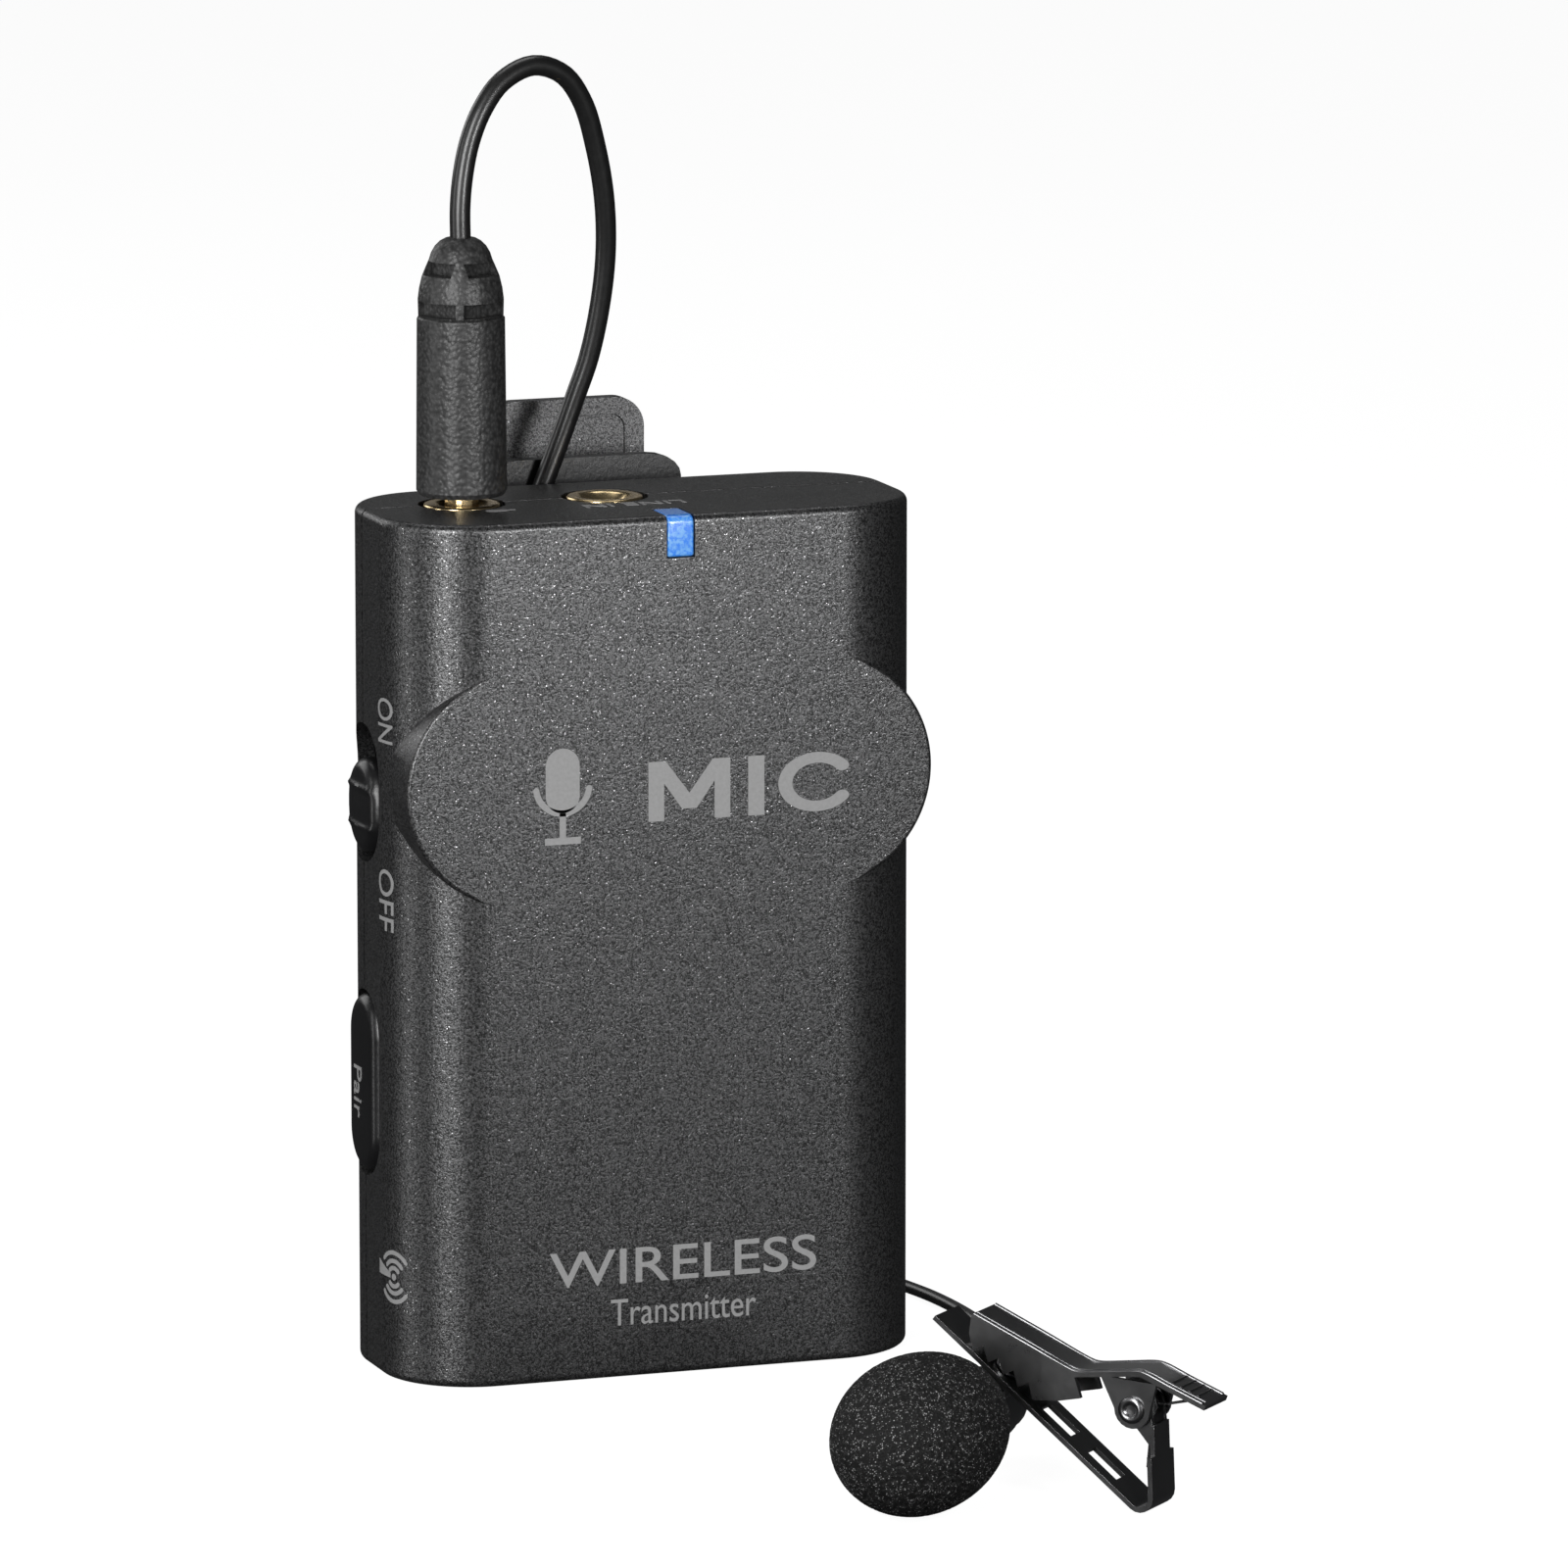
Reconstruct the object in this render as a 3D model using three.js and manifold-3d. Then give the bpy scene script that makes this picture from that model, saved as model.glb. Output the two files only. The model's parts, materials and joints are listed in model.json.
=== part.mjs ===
// A wireless lavalier microphone: a body-pack transmitter with a sprung belt clip and a
// sliding battery door, the plugged-in lead, and a clip-on microphone in a foam windscreen.
// Millimetres, +Z up. The pack's front faces -Y and the origin is the middle of its base.
import * as THREE from 'three';
import { mergeVertices } from 'three/addons/utils/BufferGeometryUtils.js';
import Module from 'manifold-3d';

const wasm = await Module();
wasm.setup();

// ---------------------------------------------------------------- driving dimensions
const fit = 0.1; // gap round a piece that sits in a hole of its own
const slip = 0.3; // gap beside a piece that slides, or that rests on a turned neighbour
const running = 0.05; // radial clearance of a pin in its hole

const pack = {
  width: 56, depth: 24.6, height: 88.2,
  frontCorner: 9.5, rearCorner: 9.2,
  sideWall: 1.6, endWall: 2, edge: 0.8,
  seamY: 2.2, seamGap: 0.3,
};
const boss = { // the raised plate, faced off level with the flat front
  reach: 27.9, radius: 12, centreBelowTop: 27, depth: 9.2, skim: 0.01,
};
const screwSite = { x: 19, low: 7, high: 44, postRadius: 2.4 };
const screw = { headRadius: 1.7, headHeight: 1.2, shankRadius: 0.9, shankLength: 13 };

const jack = {
  boreRadius: 1.85, ringRadius: 3.9, holeRadius: 4.45, proud: 0.1,
  bodyWidth: 8, bodyDepth: 7, bodyHeight: 13, micX: -17.4, lineX: -2.2,
};
const lightPipe = { x: 1, width: 2.8, drop: 4.2, back: 4.8 };

const powerSwitch = {
  belowTop: 28.9, slotLength: 14.2, slotWidth: 10.4, knobLength: 9.8, knobWidth: 8.8,
  travel: 2.2, endGap: 0.8, proud: 0.6,
};
const pairButton = { z: 29.4, length: 18.4, width: 8.6, gap: 0.4, travel: 0.5, proud: 0.6 };
const flange = { inset: 1.1, thickness: 0.8, lip: 0.6 }; // the inner plates of both keys
const keySwitch = { depth: 4, width: 5.8, powerHeight: 13, pairHeight: 6, plungerRadius: 1.2 };

const battery = { radius: 5.25, length: 44.5, nubRadius: 1.9, nubHeight: 0.8, gap: 0.35 };
const tray = { wall: 1, baseZ: 5, springRoom: 4.6, side: 9.4 };
const board = { width: 46, thickness: 1.2, bottom: 4.5, belowTop: 9 };
const door = { halfWidth: 15, top: 56.3, thickness: 1.4, lugReach: 1.4, lugDepth: 1 };

const bracket = {
  shoulder: { x: 3.5, z: 2.4, steps: 5 },
  halfWidth: 10.5, standOff: 2.9, plate: 1.4, rise: 2, foot: 30.2,
  padHalfWidth: 8, padHeight: 16, earThickness: 1.5, earHeight: 8.4, screwSpread: 8,
};
const lever = {
  halfWidth: 8.6, thickness: 1.6, rise: 7.1, foot: 57.2, hook: 7, tipGap: 0.5,
  panelInset: 2.1, panelDepth: 0.3, knuckleRadius: 2.2, springRoom: 9.4,
};
const clipPin = { radius: 1, belowTop: 4.2, behindPlate: 2.6 };

const plug = {
  radius: 4.45, clearOfPack: 1, barrel: 18.2, slot: 1.6, band: 2.5, dome: 2.2, bandTop: 3.9, domeBase: 3.15,
  tipRadius: 1.45, contactRadius: 1.75, contactLength: 14, coreRadius: 1.9,
};
const cord = { radius: 1.05, tailRadius: 0.65, sides: 8 };
const coil = { x: 6, y: 31, z: 0.95, meanRadius: 12.5, halfWidth: 4.4, height: 8.7 };
const coilTie = { angle: -60, width: 4, thickness: 0.55 };

// the tie clip's own frame: x along the clip, y across it, z up, origin under its bend
const clip = {
  x: 23.2, y: -83.3, turn: -47,
  width: 5, sheet: 0.5, slotWidth: 2, slotLength: 4,
  strapSlope: 37.6, strapLength: 27.1, bendRadius: 1.5, legTop: [1.2, 8.6],
  pivot: [-0.8, 10.15], earRadius: 1.9, pinRadius: 0.8, pinHeadRadius: 1.35, pinHead: 0.5,
  jawTip: [-18.2, 17.4], jawKnee: [-7, 12.7], jawFlat: [0, 13.5], handleTip: [6.9, 10.9],
  jawSide: 3, toothPitch: 1.9, toothDepth: 1.1, jawWidth: 5,
};
const capsule = {
  radius: 3.2, back: 7.2, front: -15, wall: 0.6, grille: 1.6, belowStrap: 4.57, fromBend: 18.6,
};
const clasp = { thickness: 0.4, width: 3.2, rivetRadius: 0.9, rivetHead: 1.5 };
const boot = { length: 5, radius: 2.1, endRadius: 1.35 };
const foam = { radius: 7.9, back: -1.3, front: -22, fullest: -10.8, neckRadius: 5, boreGap: 0.3 };

// ---------------------------------------------------------------- shapes and solids
function toSolid(geometry) {
  const bare = geometry.clone();
  for (const name of Object.keys(bare.attributes)) {
    if (name !== 'position') bare.deleteAttribute(name);
  }
  const merged = mergeVertices(bare, 1e-4);
  const triangles = [];
  for (let i = 0; i < merged.index.count; i += 3) {
    const [a, b, c] = [0, 1, 2].map((k) => merged.index.getX(i + k));
    if (a !== b && b !== c && c !== a) triangles.push(a, b, c);
  }
  const at = (i) => new THREE.Vector3().fromBufferAttribute(merged.attributes.position, i);
  let volume = 0;
  for (let i = 0; i < triangles.length; i += 3) {
    volume += at(triangles[i]).dot(at(triangles[i + 1]).cross(at(triangles[i + 2])));
  }
  if (volume < 0) triangles.reverse();
  return new wasm.Manifold(new wasm.Mesh({
    numProp: 3,
    vertProperties: new Float32Array(merged.attributes.position.array),
    triVerts: new Uint32Array(triangles),
  }));
}

function toGeometry(solid) {
  const mesh = solid.getMesh();
  const geometry = new THREE.BufferGeometry();
  geometry.setAttribute('position', new THREE.BufferAttribute(mesh.vertProperties, mesh.numProp));
  geometry.setIndex(new THREE.BufferAttribute(mesh.triVerts, 1));
  geometry.computeVertexNormals();
  return geometry;
}

const join = (first, ...rest) => rest.reduce((whole, piece) => whole.add(piece), first);
const cut = (first, ...rest) => rest.reduce((whole, piece) => whole.subtract(piece), first);

function roundedRectangle(width, height, radius, inset = 0) {
  const x = width / 2 - inset;
  const y = height / 2 - inset;
  const r = Math.max(radius - inset, 0.01);
  const shape = new THREE.Shape();
  shape.absarc(x - r, y - r, r, 0, Math.PI / 2);
  shape.absarc(-x + r, y - r, r, Math.PI / 2, Math.PI);
  shape.absarc(-x + r, -y + r, r, Math.PI, Math.PI * 1.5);
  shape.absarc(x - r, -y + r, r, Math.PI * 1.5, Math.PI * 2);
  return shape;
}

function outline(points) {
  return new THREE.Shape(points.map(([x, y]) => new THREE.Vector2(x, y)));
}

function extrusion(shape, depth, { bevel = 0, segments = 8, bevelSegments = 2 } = {}) {
  const geometry = new THREE.ExtrudeGeometry(shape, {
    depth: depth - 2 * bevel, curveSegments: segments, bevelEnabled: bevel > 0,
    bevelSize: bevel, bevelThickness: bevel, bevelSegments,
  });
  return geometry.translate(0, 0, bevel);
}

// turns a geometry so that its x, y and z run along the three directions given
function reframe(geometry, x, y, z) {
  const basis = new THREE.Matrix4().makeBasis(
    new THREE.Vector3(...x), new THREE.Vector3(...y), new THREE.Vector3(...z));
  return geometry.applyMatrix4(basis);
}
// an outline drawn in Y and Z, extruded from x0 towards +X
const alongX = (geometry, x0) => reframe(geometry, [0, 1, 0], [0, 0, 1], [1, 0, 0]).translate(x0, 0, 0);
// an outline drawn in X and Z, extruded from y1 towards -Y
const alongY = (geometry, y1) => reframe(geometry, [1, 0, 0], [0, 0, 1], [0, -1, 0]).translate(0, y1, 0);

function block(x0, x1, y0, y1, z0, z1) {
  const geometry = new THREE.BoxGeometry(x1 - x0, y1 - y0, z1 - z0);
  return toSolid(geometry.translate((x0 + x1) / 2, (y0 + y1) / 2, (z0 + z1) / 2));
}

function rod(axis, radius, from, to, [u, v], segments = 16) {
  const geometry = new THREE.CylinderGeometry(radius, radius, to - from, segments);
  const middle = (from + to) / 2;
  if (axis === 'x') geometry.rotateZ(Math.PI / 2).translate(middle, u, v);
  if (axis === 'y') geometry.translate(u, middle, v);
  if (axis === 'z') geometry.rotateX(Math.PI / 2).translate(u, v, middle);
  return toSolid(geometry);
}

// a profile of [radius, height] points turned about the z axis
function turned(profile, segments = 24) {
  const points = profile.map(([r, z]) => new THREE.Vector2(r, z));
  return toSolid(new THREE.LatheGeometry(points, segments).rotateX(Math.PI / 2));
}

// the same, turned about a line along +Y through x = u and z = v
function turnedAlongY(profile, [u, v], segments = 24) {
  const points = profile.map(([r, y]) => new THREE.Vector2(r, y));
  return toSolid(new THREE.LatheGeometry(points, segments).translate(u, 0, v));
}

// the outline of a bent strip: a line of points given a thickness to its left
function strip(points, thickness) {
  const line = points.map(([x, y]) => new THREE.Vector2(x, y));
  const normals = line.slice(1).map((p, i) => {
    const along = p.clone().sub(line[i]).normalize();
    return new THREE.Vector2(-along.y, along.x);
  });
  const offset = line.map((p, i) => {
    const before = normals[Math.max(i - 1, 0)];
    const after = normals[Math.min(i, normals.length - 1)];
    const mitre = before.clone().add(after).normalize();
    return p.clone().addScaledVector(mitre, thickness / mitre.dot(after));
  });
  return new THREE.Shape([...line, ...offset.reverse()]);
}

function arcPoints(x, y, radius, from, to, steps) {
  const points = [];
  for (let i = 0; i <= steps; i += 1) {
    const angle = THREE.MathUtils.degToRad(from + ((to - from) * i) / steps);
    points.push([x + radius * Math.cos(angle), y + radius * Math.sin(angle)]);
  }
  return points;
}

function tube(points, radius, sides, steps) {
  const path = new THREE.CatmullRomCurve3(points.map((p) => new THREE.Vector3(...p)), false, 'centripetal');
  const section = new THREE.Shape(arcPoints(0, 0, radius, 0, 360 * (1 - 1 / sides), sides - 1)
    .map(([x, y]) => new THREE.Vector2(x, y)));
  return toSolid(new THREE.ExtrudeGeometry(section, { steps, extrudePath: path, bevelEnabled: false }));
}

// a torsion spring wound about +X through y and z, with one straight arm at each end
function torsionSpring({ x0, x1, y, z, radius, wire, turns, startArm, endArm }) {
  const points = [startArm];
  const perTurn = 8;
  const steps = Math.round(turns * perTurn);
  const start = Math.atan2(startArm[2] - z, startArm[1] - y) + Math.PI / 2;
  for (let i = 0; i <= steps; i += 1) {
    const angle = start - (2 * Math.PI * i) / perTurn;
    points.push([x0 + ((x1 - x0) * i) / steps, y + radius * Math.cos(angle), z + radius * Math.sin(angle)]);
  }
  points.push(endArm);
  return tube(points, wire / 2, 5, steps + 10);
}

// ---------------------------------------------------------------- the scene graph
const model = new THREE.Group();
const micGroup = new THREE.Group();
micGroup.position.set(clip.x, clip.y, 0);
micGroup.rotation.z = THREE.MathUtils.degToRad(clip.turn);
model.add(micGroup);

const finishes = {
  case: { color: 0x4b4b4c, roughness: 0.55, metalness: 0.1 },
  key: { color: 0x3a3a3b, roughness: 0.5, metalness: 0 },
  clipPlate: { color: 0x6d6d6e, roughness: 0.6, metalness: 0.1 },
  gold: { color: 0xd0a04a, roughness: 0.25, metalness: 1 },
  steel: { color: 0xb8b8b8, roughness: 0.3, metalness: 1 },
  blackMetal: { color: 0x151516, roughness: 0.2, metalness: 0.9 },
  rubber: { color: 0x202021, roughness: 0.6, metalness: 0 },
  foam: { color: 0x0d0d0e, roughness: 1, metalness: 0 },
  lens: { color: 0x3c8be8, roughness: 0.15, metalness: 0 },
  board: { color: 0x1d5a34, roughness: 0.6, metalness: 0 },
  battery: { color: 0x8a8d92, roughness: 0.4, metalness: 0.4 },
};

function addPart(name, finish, solid, parent = model) {
  const mesh = new THREE.Mesh(toGeometry(solid), new THREE.MeshStandardMaterial(finishes[finish]));
  mesh.name = name;
  parent.add(mesh);
}

// ---------------------------------------------------------------- places that follow
const left = -pack.width / 2;
const front = -pack.depth / 2;
const rear = pack.depth / 2;
const top = pack.height;
const frontInner = front + pack.sideWall;
const rearInner = rear - pack.sideWall;
const topInner = top - pack.endWall;
const batteryY = rearInner - battery.gap - battery.radius;
const trayFront = batteryY - battery.radius - battery.gap - tray.wall;
const boardBack = trayFront - slip;
const boardFront = boardBack - board.thickness;
const switchZ = top - powerSwitch.belowTop;
const screwSites = [-1, 1].flatMap((side) => [screwSite.low, screwSite.high]
  .map((z) => [side * screwSite.x, z]));
const pin = { y: rear + bracket.standOff + bracket.plate + clipPin.behindPlate, z: top - clipPin.belowTop };

// the pack's plan, rounder in front than behind, drawn in by an inset
function packPlan(inset = 0) {
  const x = pack.width / 2 - inset;
  const f = Math.max(pack.frontCorner - inset, 0.01);
  const r = Math.max(pack.rearCorner - inset, 0.01);
  const shape = new THREE.Shape();
  shape.absarc(x - r, rear - inset - r, r, 0, Math.PI / 2);
  shape.absarc(-x + r, rear - inset - r, r, Math.PI / 2, Math.PI);
  shape.absarc(-x + f, front + inset + f, f, Math.PI, Math.PI * 1.5);
  shape.absarc(x - f, front + inset + f, f, Math.PI * 1.5, Math.PI * 2);
  return shape;
}

const packBlank = toSolid(extrusion(packPlan(pack.edge), pack.height,
  { bevel: pack.edge, segments: 9, bevelSegments: 2 }));
const packHollow = toSolid(extrusion(packPlan(pack.sideWall), topInner - pack.endWall, { segments: 5 })
  .translate(0, 0, pack.endWall));
const big = pack.width + pack.depth + pack.height;
const keyRoom = toSolid(extrusion(packPlan(pack.sideWall + slip), pack.height, { segments: 5 }));

// a prism through the left wall with a round-ended outline of a length and a width
function keyPrism(z, length, width, x0, x1, bevel = 0) {
  const shape = roundedRectangle(width, length, width / 2, bevel);
  return toSolid(alongX(extrusion(shape, x1 - x0, { bevel, segments: 6 }), x0).translate(0, pack.seamY, z));
}

const keyOpenings = join(
  keyPrism(switchZ, powerSwitch.slotLength, powerSwitch.slotWidth, left - 1, left + pack.frontCorner / 2),
  keyPrism(pairButton.z, pairButton.length + 2 * pairButton.gap, pairButton.width + 2 * pairButton.gap,
    left - 1, left + pack.frontCorner / 2));
const jackHoles = join(...[jack.micX, jack.lineX]
  .map((x) => rod('z', jack.holeRadius, topInner - 1, top + 1, [x, pack.seamY], 32)));

function lightPipeSolid(gap) {
  const half = lightPipe.width / 2 + gap;
  const shell = block(lightPipe.x - half, lightPipe.x + half, front - 1, front + lightPipe.back + gap,
    top - lightPipe.drop - gap, top + 1).intersect(packBlank);
  const hollow = block(lightPipe.x - big, lightPipe.x + big, frontInner - fit, big,
    -big, topInner + fit);
  return cut(shell, hollow);
}

// ---------------------------------------------------------------- the pack's shells
function frontShell() {
  const bossShape = roundedRectangle(2 * boss.reach, 2 * boss.radius, boss.radius);
  const bossSolid = toSolid(alongY(extrusion(bossShape, boss.depth + 1, { segments: 12 }),
    front + boss.depth).translate(0, 0, top - boss.centreBelowTop));
  const half = block(-big, big, front + boss.skim, pack.seamY - pack.seamGap / 2, -1, top + 1);
  const posts = screwSites.map(([x, z]) => cut(
    rod('y', screwSite.postRadius, frontInner - 1, pack.seamY - pack.seamGap / 2, [x, z]),
    rod('y', screw.shankRadius + fit, frontInner + 1, pack.seamY + 1, [x, z])));
  const body = cut(join(packBlank, bossSolid).intersect(half), packHollow, keyOpenings, jackHoles,
    lightPipeSolid(fit));
  return join(body, ...posts);
}

function rearShell() {
  const half = block(-big, big, pack.seamY + pack.seamGap / 2, rear + 1, -1, top + 1);
  const posts = screwSites.map(([x, z]) => rod('y', screwSite.postRadius, pack.seamY + pack.seamGap / 2,
    rearInner + 1, [x, z]));
  const bores = screwSites.flatMap(([x, z]) => [
    rod('y', screw.shankRadius + fit, pack.seamY - 1, rear + 1, [x, z]),
    rod('y', screw.headRadius + fit, rear - screw.headHeight - fit, rear + 1, [x, z]),
  ]);
  const doorway = block(-door.halfWidth, door.halfWidth, rearInner - 0.5, rear + 1, -1, door.top);
  const bracketHoles = bracketScrewSites.map(([x, z]) => rod('y', screw.shankRadius + fit,
    rearInner - 1, rear + 1, [x, z]));
  const body = cut(packBlank.intersect(half), packHollow, keyOpenings, jackHoles, doorway);
  return cut(join(body, ...posts), ...bores, ...bracketHoles);
}

function caseScrew([x, z]) {
  const head = rear - screw.headHeight;
  return join(rod('y', screw.headRadius, head, rear - fit, [x, z], 16),
    rod('y', screw.shankRadius, head - screw.shankLength, head + fit, [x, z], 12));
}

function batteryDoor() {
  const half = door.halfWidth - slip;
  const inner = rear - door.thickness;
  const plate = block(-half, half, inner, rear + 1, -1, door.top - slip).intersect(packBlank);
  const lugFace = rearInner - fit;
  const lugs = [-1, 1].flatMap((side) => [door.top * 0.25, door.top * 0.8].map((z) => {
    const reach = [side * (half - 3), side * (door.halfWidth + door.lugReach)].sort((a, b) => a - b);
    const stem = [side * (half - 3), side * half].sort((a, b) => a - b);
    return join(block(...reach, lugFace - door.lugDepth, lugFace, z - 2, z + 2),
      block(...stem, lugFace - door.lugDepth, inner + 0.2, z - 2, z + 2));
  }));
  const grip = [0, 1, 2, 3].map((row) => block(-6, 6, rear - 0.4, rear + 1, 8 + 1.6 * row, 8.7 + 1.6 * row));
  return cut(join(plate, ...lugs), ...grip);
}

// ---------------------------------------------------------------- keys on the left side
function powerKnob() {
  const lowest = switchZ - powerSwitch.slotLength / 2 + powerSwitch.endGap;
  const z = lowest + powerSwitch.knobLength / 2;
  const x1 = left + pack.sideWall + flange.inset;
  const pad = keyPrism(z, powerSwitch.knobLength, powerSwitch.knobWidth, left - powerSwitch.proud, x1 + 0.1,
    0.5);
  const ribs = [-2, 0, 2].map((step) => block(left - powerSwitch.proud - 1, left - powerSwitch.proud + 0.35,
    pack.seamY - powerSwitch.knobWidth, pack.seamY + powerSwitch.knobWidth, z + step - 0.35, z + step + 0.35));
  const plate = keyPrism(z, powerSwitch.slotLength + powerSwitch.travel, powerSwitch.slotWidth + flange.lip,
    x1, x1 + flange.thickness).intersect(keyRoom);
  return join(cut(pad, ...ribs), plate);
}

function pairKey() {
  const x1 = left + pack.sideWall + flange.inset;
  const pad = keyPrism(pairButton.z, pairButton.length, pairButton.width, left - pairButton.proud, x1 + 0.1, 0.6);
  const plate = keyPrism(pairButton.z, pairButton.length + 3, pairButton.width + 1.2, x1,
    x1 + flange.thickness).intersect(keyRoom);
  return join(pad, plate);
}

// a switch soldered to the back of the board, with its plunger or its slider facing a key
function boardSwitch(z, height, plungerGap) {
  const x0 = left + pack.sideWall + flange.inset + flange.thickness + 1.6;
  const y0 = boardBack + fit;
  const body = block(x0, x0 + keySwitch.depth, y0, y0 + keySwitch.width, z - height / 2, z + height / 2);
  const tip = left + pack.sideWall + flange.inset + flange.thickness + plungerGap;
  return join(body, rod('x', keySwitch.plungerRadius, tip, x0 + 1, [y0 + keySwitch.width / 2, z], 16));
}

// ---------------------------------------------------------------- jacks and light
function jackRing(x) {
  const z0 = topInner - fit;
  const rim = 0.35;
  return turned([
    [jack.boreRadius, z0], [jack.ringRadius, z0], [jack.ringRadius, top + jack.proud - rim],
    [jack.ringRadius - rim, top + jack.proud], [jack.boreRadius + rim, top + jack.proud],
    [jack.boreRadius, top + jack.proud - rim], [jack.boreRadius, z0],
  ], 24).translate([x, pack.seamY, 0]);
}

function jackBody(x) {
  const z1 = topInner - slip - fit;
  const halfX = jack.bodyWidth / 2;
  const halfY = jack.bodyDepth / 2;
  const body = block(x - halfX, x + halfX, pack.seamY - halfY, pack.seamY + halfY, z1 - jack.bodyHeight, z1);
  return cut(body, rod('z', jack.boreRadius, z1 - jack.bodyHeight - 1, z1 + 1, [x, pack.seamY], 24));
}

// ---------------------------------------------------------------- inside the pack
function circuitBoard() {
  const half = board.width / 2;
  const plate = block(-half, half, boardFront, boardBack, board.bottom, top - board.belowTop);
  return cut(plate, ...screwSites.map(([x, z]) => rod('y', screwSite.postRadius + slip,
    boardFront - 1, boardBack + 1, [x, z])));
}

function batteryTray() {
  const halfInner = 2 * (battery.radius + battery.gap);
  const length = battery.length + tray.springRoom + tray.wall;
  const [y0, y1] = [trayFront, trayFront + tray.wall + tray.side];
  const outer = block(-halfInner - tray.wall, halfInner + tray.wall, y0, y1, tray.baseZ,
    tray.baseZ + length + 2 * tray.wall);
  const inner = block(-halfInner, halfInner, y0 + tray.wall, y1 + 1, tray.baseZ + tray.wall,
    tray.baseZ + tray.wall + length);
  return cut(outer, inner);
}

const batteryX = battery.radius + battery.gap / 2;
const cellBase = tray.baseZ + tray.wall + tray.springRoom;

// one cell stands on its spring with its nub up, the other the other way round
function cell(side) {
  const { radius, length, nubRadius, nubHeight } = battery;
  const body = turned([[0, 0], [radius - 0.3, 0], [radius, 0.3], [radius, length - nubHeight - 0.3],
    [radius - 0.3, length - nubHeight], [nubRadius, length - nubHeight], [nubRadius, length], [0, length]], 20);
  const placed = side < 0 ? body : body.rotate([180, 0, 0]).translate([0, 0, length]);
  const z = side < 0 ? cellBase : tray.baseZ + 2 * tray.wall + 0.2;
  return placed.translate([side * batteryX, batteryY, z]);
}

function cellSpring(side) {
  const room = tray.springRoom - tray.wall - 0.2;
  const base = side < 0 ? tray.baseZ + tray.wall + 0.2 : cellTop - room - 0.2;
  const points = [];
  const steps = 24;
  const wire = 0.35;
  for (let i = 0; i <= steps; i += 1) {
    const angle = (i / 9) * 2 * Math.PI;
    const radius = side < 0 ? 3.6 - (1.6 * i) / steps : 2 + (1.6 * i) / steps;
    points.push([side * batteryX + radius * Math.cos(angle), batteryY + radius * Math.sin(angle),
      base + wire + ((room - 2 * wire) * i) / steps]);
  }
  return tube(points, wire, 5, 30);
}
const cellTop = tray.baseZ + tray.wall + battery.length + tray.springRoom + tray.wall;

// a thin plate across the end where a cell's nub or the other cell's spring presses
function radioShield() {
  const y1 = boardFront - fit;
  return block(-14, 4, y1 - 2.4, y1, 24, 38);
}

function antenna() {
  const y1 = boardFront - fit;
  const wire = 0.8;
  const rungs = [0, 1, 2, 3].map((row) => block(6, 18, y1 - wire, y1, 54 + 3 * row, 54 + 3 * row + wire));
  const links = [0, 1, 2].map((row) => {
    const x = row % 2 ? 6 : 18 - wire;
    return block(x, x + wire, y1 - wire, y1, 54 + 3 * row, 57 + 3 * row + wire);
  });
  return join(rungs[0], ...rungs.slice(1), ...links);
}

// ---------------------------------------------------------------- the belt clip
const bracketScrewSites = [-1, 1].map((side) => [
  side * (bracket.screwSpread / 2), top - bracket.foot + bracket.padHeight / 2]);

function beltBracket() {
  const y0 = rear + bracket.standOff;
  const y1 = y0 + bracket.plate;
  const z0 = top - bracket.foot;
  const z1 = top + bracket.rise;
  const { x: sx, z: sz, steps } = bracket.shoulder;
  const corner = Array.from({ length: steps + 1 }, (_, i) => (Math.PI / 2) * (i / steps))
    .map((t) => [bracket.halfWidth - sx * (1 - Math.cos(t)), z1 - sz * (1 - Math.sin(t))]);
  const plateShape = outline([[-bracket.halfWidth, z0], [bracket.halfWidth, z0], ...corner,
    ...corner.map(([x, z]) => [-x, z]).reverse()]);
  const plate = toSolid(alongY(extrusion(plateShape, bracket.plate), y1));
  const pad = block(-bracket.padHalfWidth, bracket.padHalfWidth, rear + running, y0 + 0.2,
    z0, z0 + bracket.padHeight);
  const ears = [-1, 1].map((side) => {
    const x = side * (bracket.halfWidth - bracket.earThickness / 2);
    const half = bracket.earThickness / 2;
    return join(
      block(x - half, x + half, y1 - 0.2, pin.y, pin.z - bracket.earHeight / 2, pin.z + bracket.earHeight / 2),
      rod('x', bracket.earHeight / 2 - 1.4, x - half, x + half, [pin.y, pin.z], 24));
  });
  const holes = bracketScrewSites.flatMap(([x, z]) => [
    rod('y', screw.shankRadius + fit, rear - 1, y1 + 1, [x, z]),
    rod('y', screw.headRadius + fit, y1 - screw.headHeight, y1 + 1, [x, z])]);
  return cut(join(plate, pad, ...ears), ...holes,
    rod('x', clipPin.radius + running, -big, big, [pin.y, pin.z], 24));
}

function bracketScrew([x, z]) {
  const y1 = rear + bracket.standOff + bracket.plate - fit;
  return join(rod('y', screw.headRadius, y1 - screw.headHeight + 2 * fit, y1, [x, z], 16),
    rod('y', screw.shankRadius, rearInner - 2, y1 - screw.headHeight + 3 * fit, [x, z], 12));
}

function beltPin() {
  return rod('x', clipPin.radius, -bracket.halfWidth + 0.2, bracket.halfWidth - 0.2, [pin.y, pin.z], 24);
}

const leverFace = pin.y + lever.knuckleRadius; // the side of the lever that faces the pack

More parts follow.
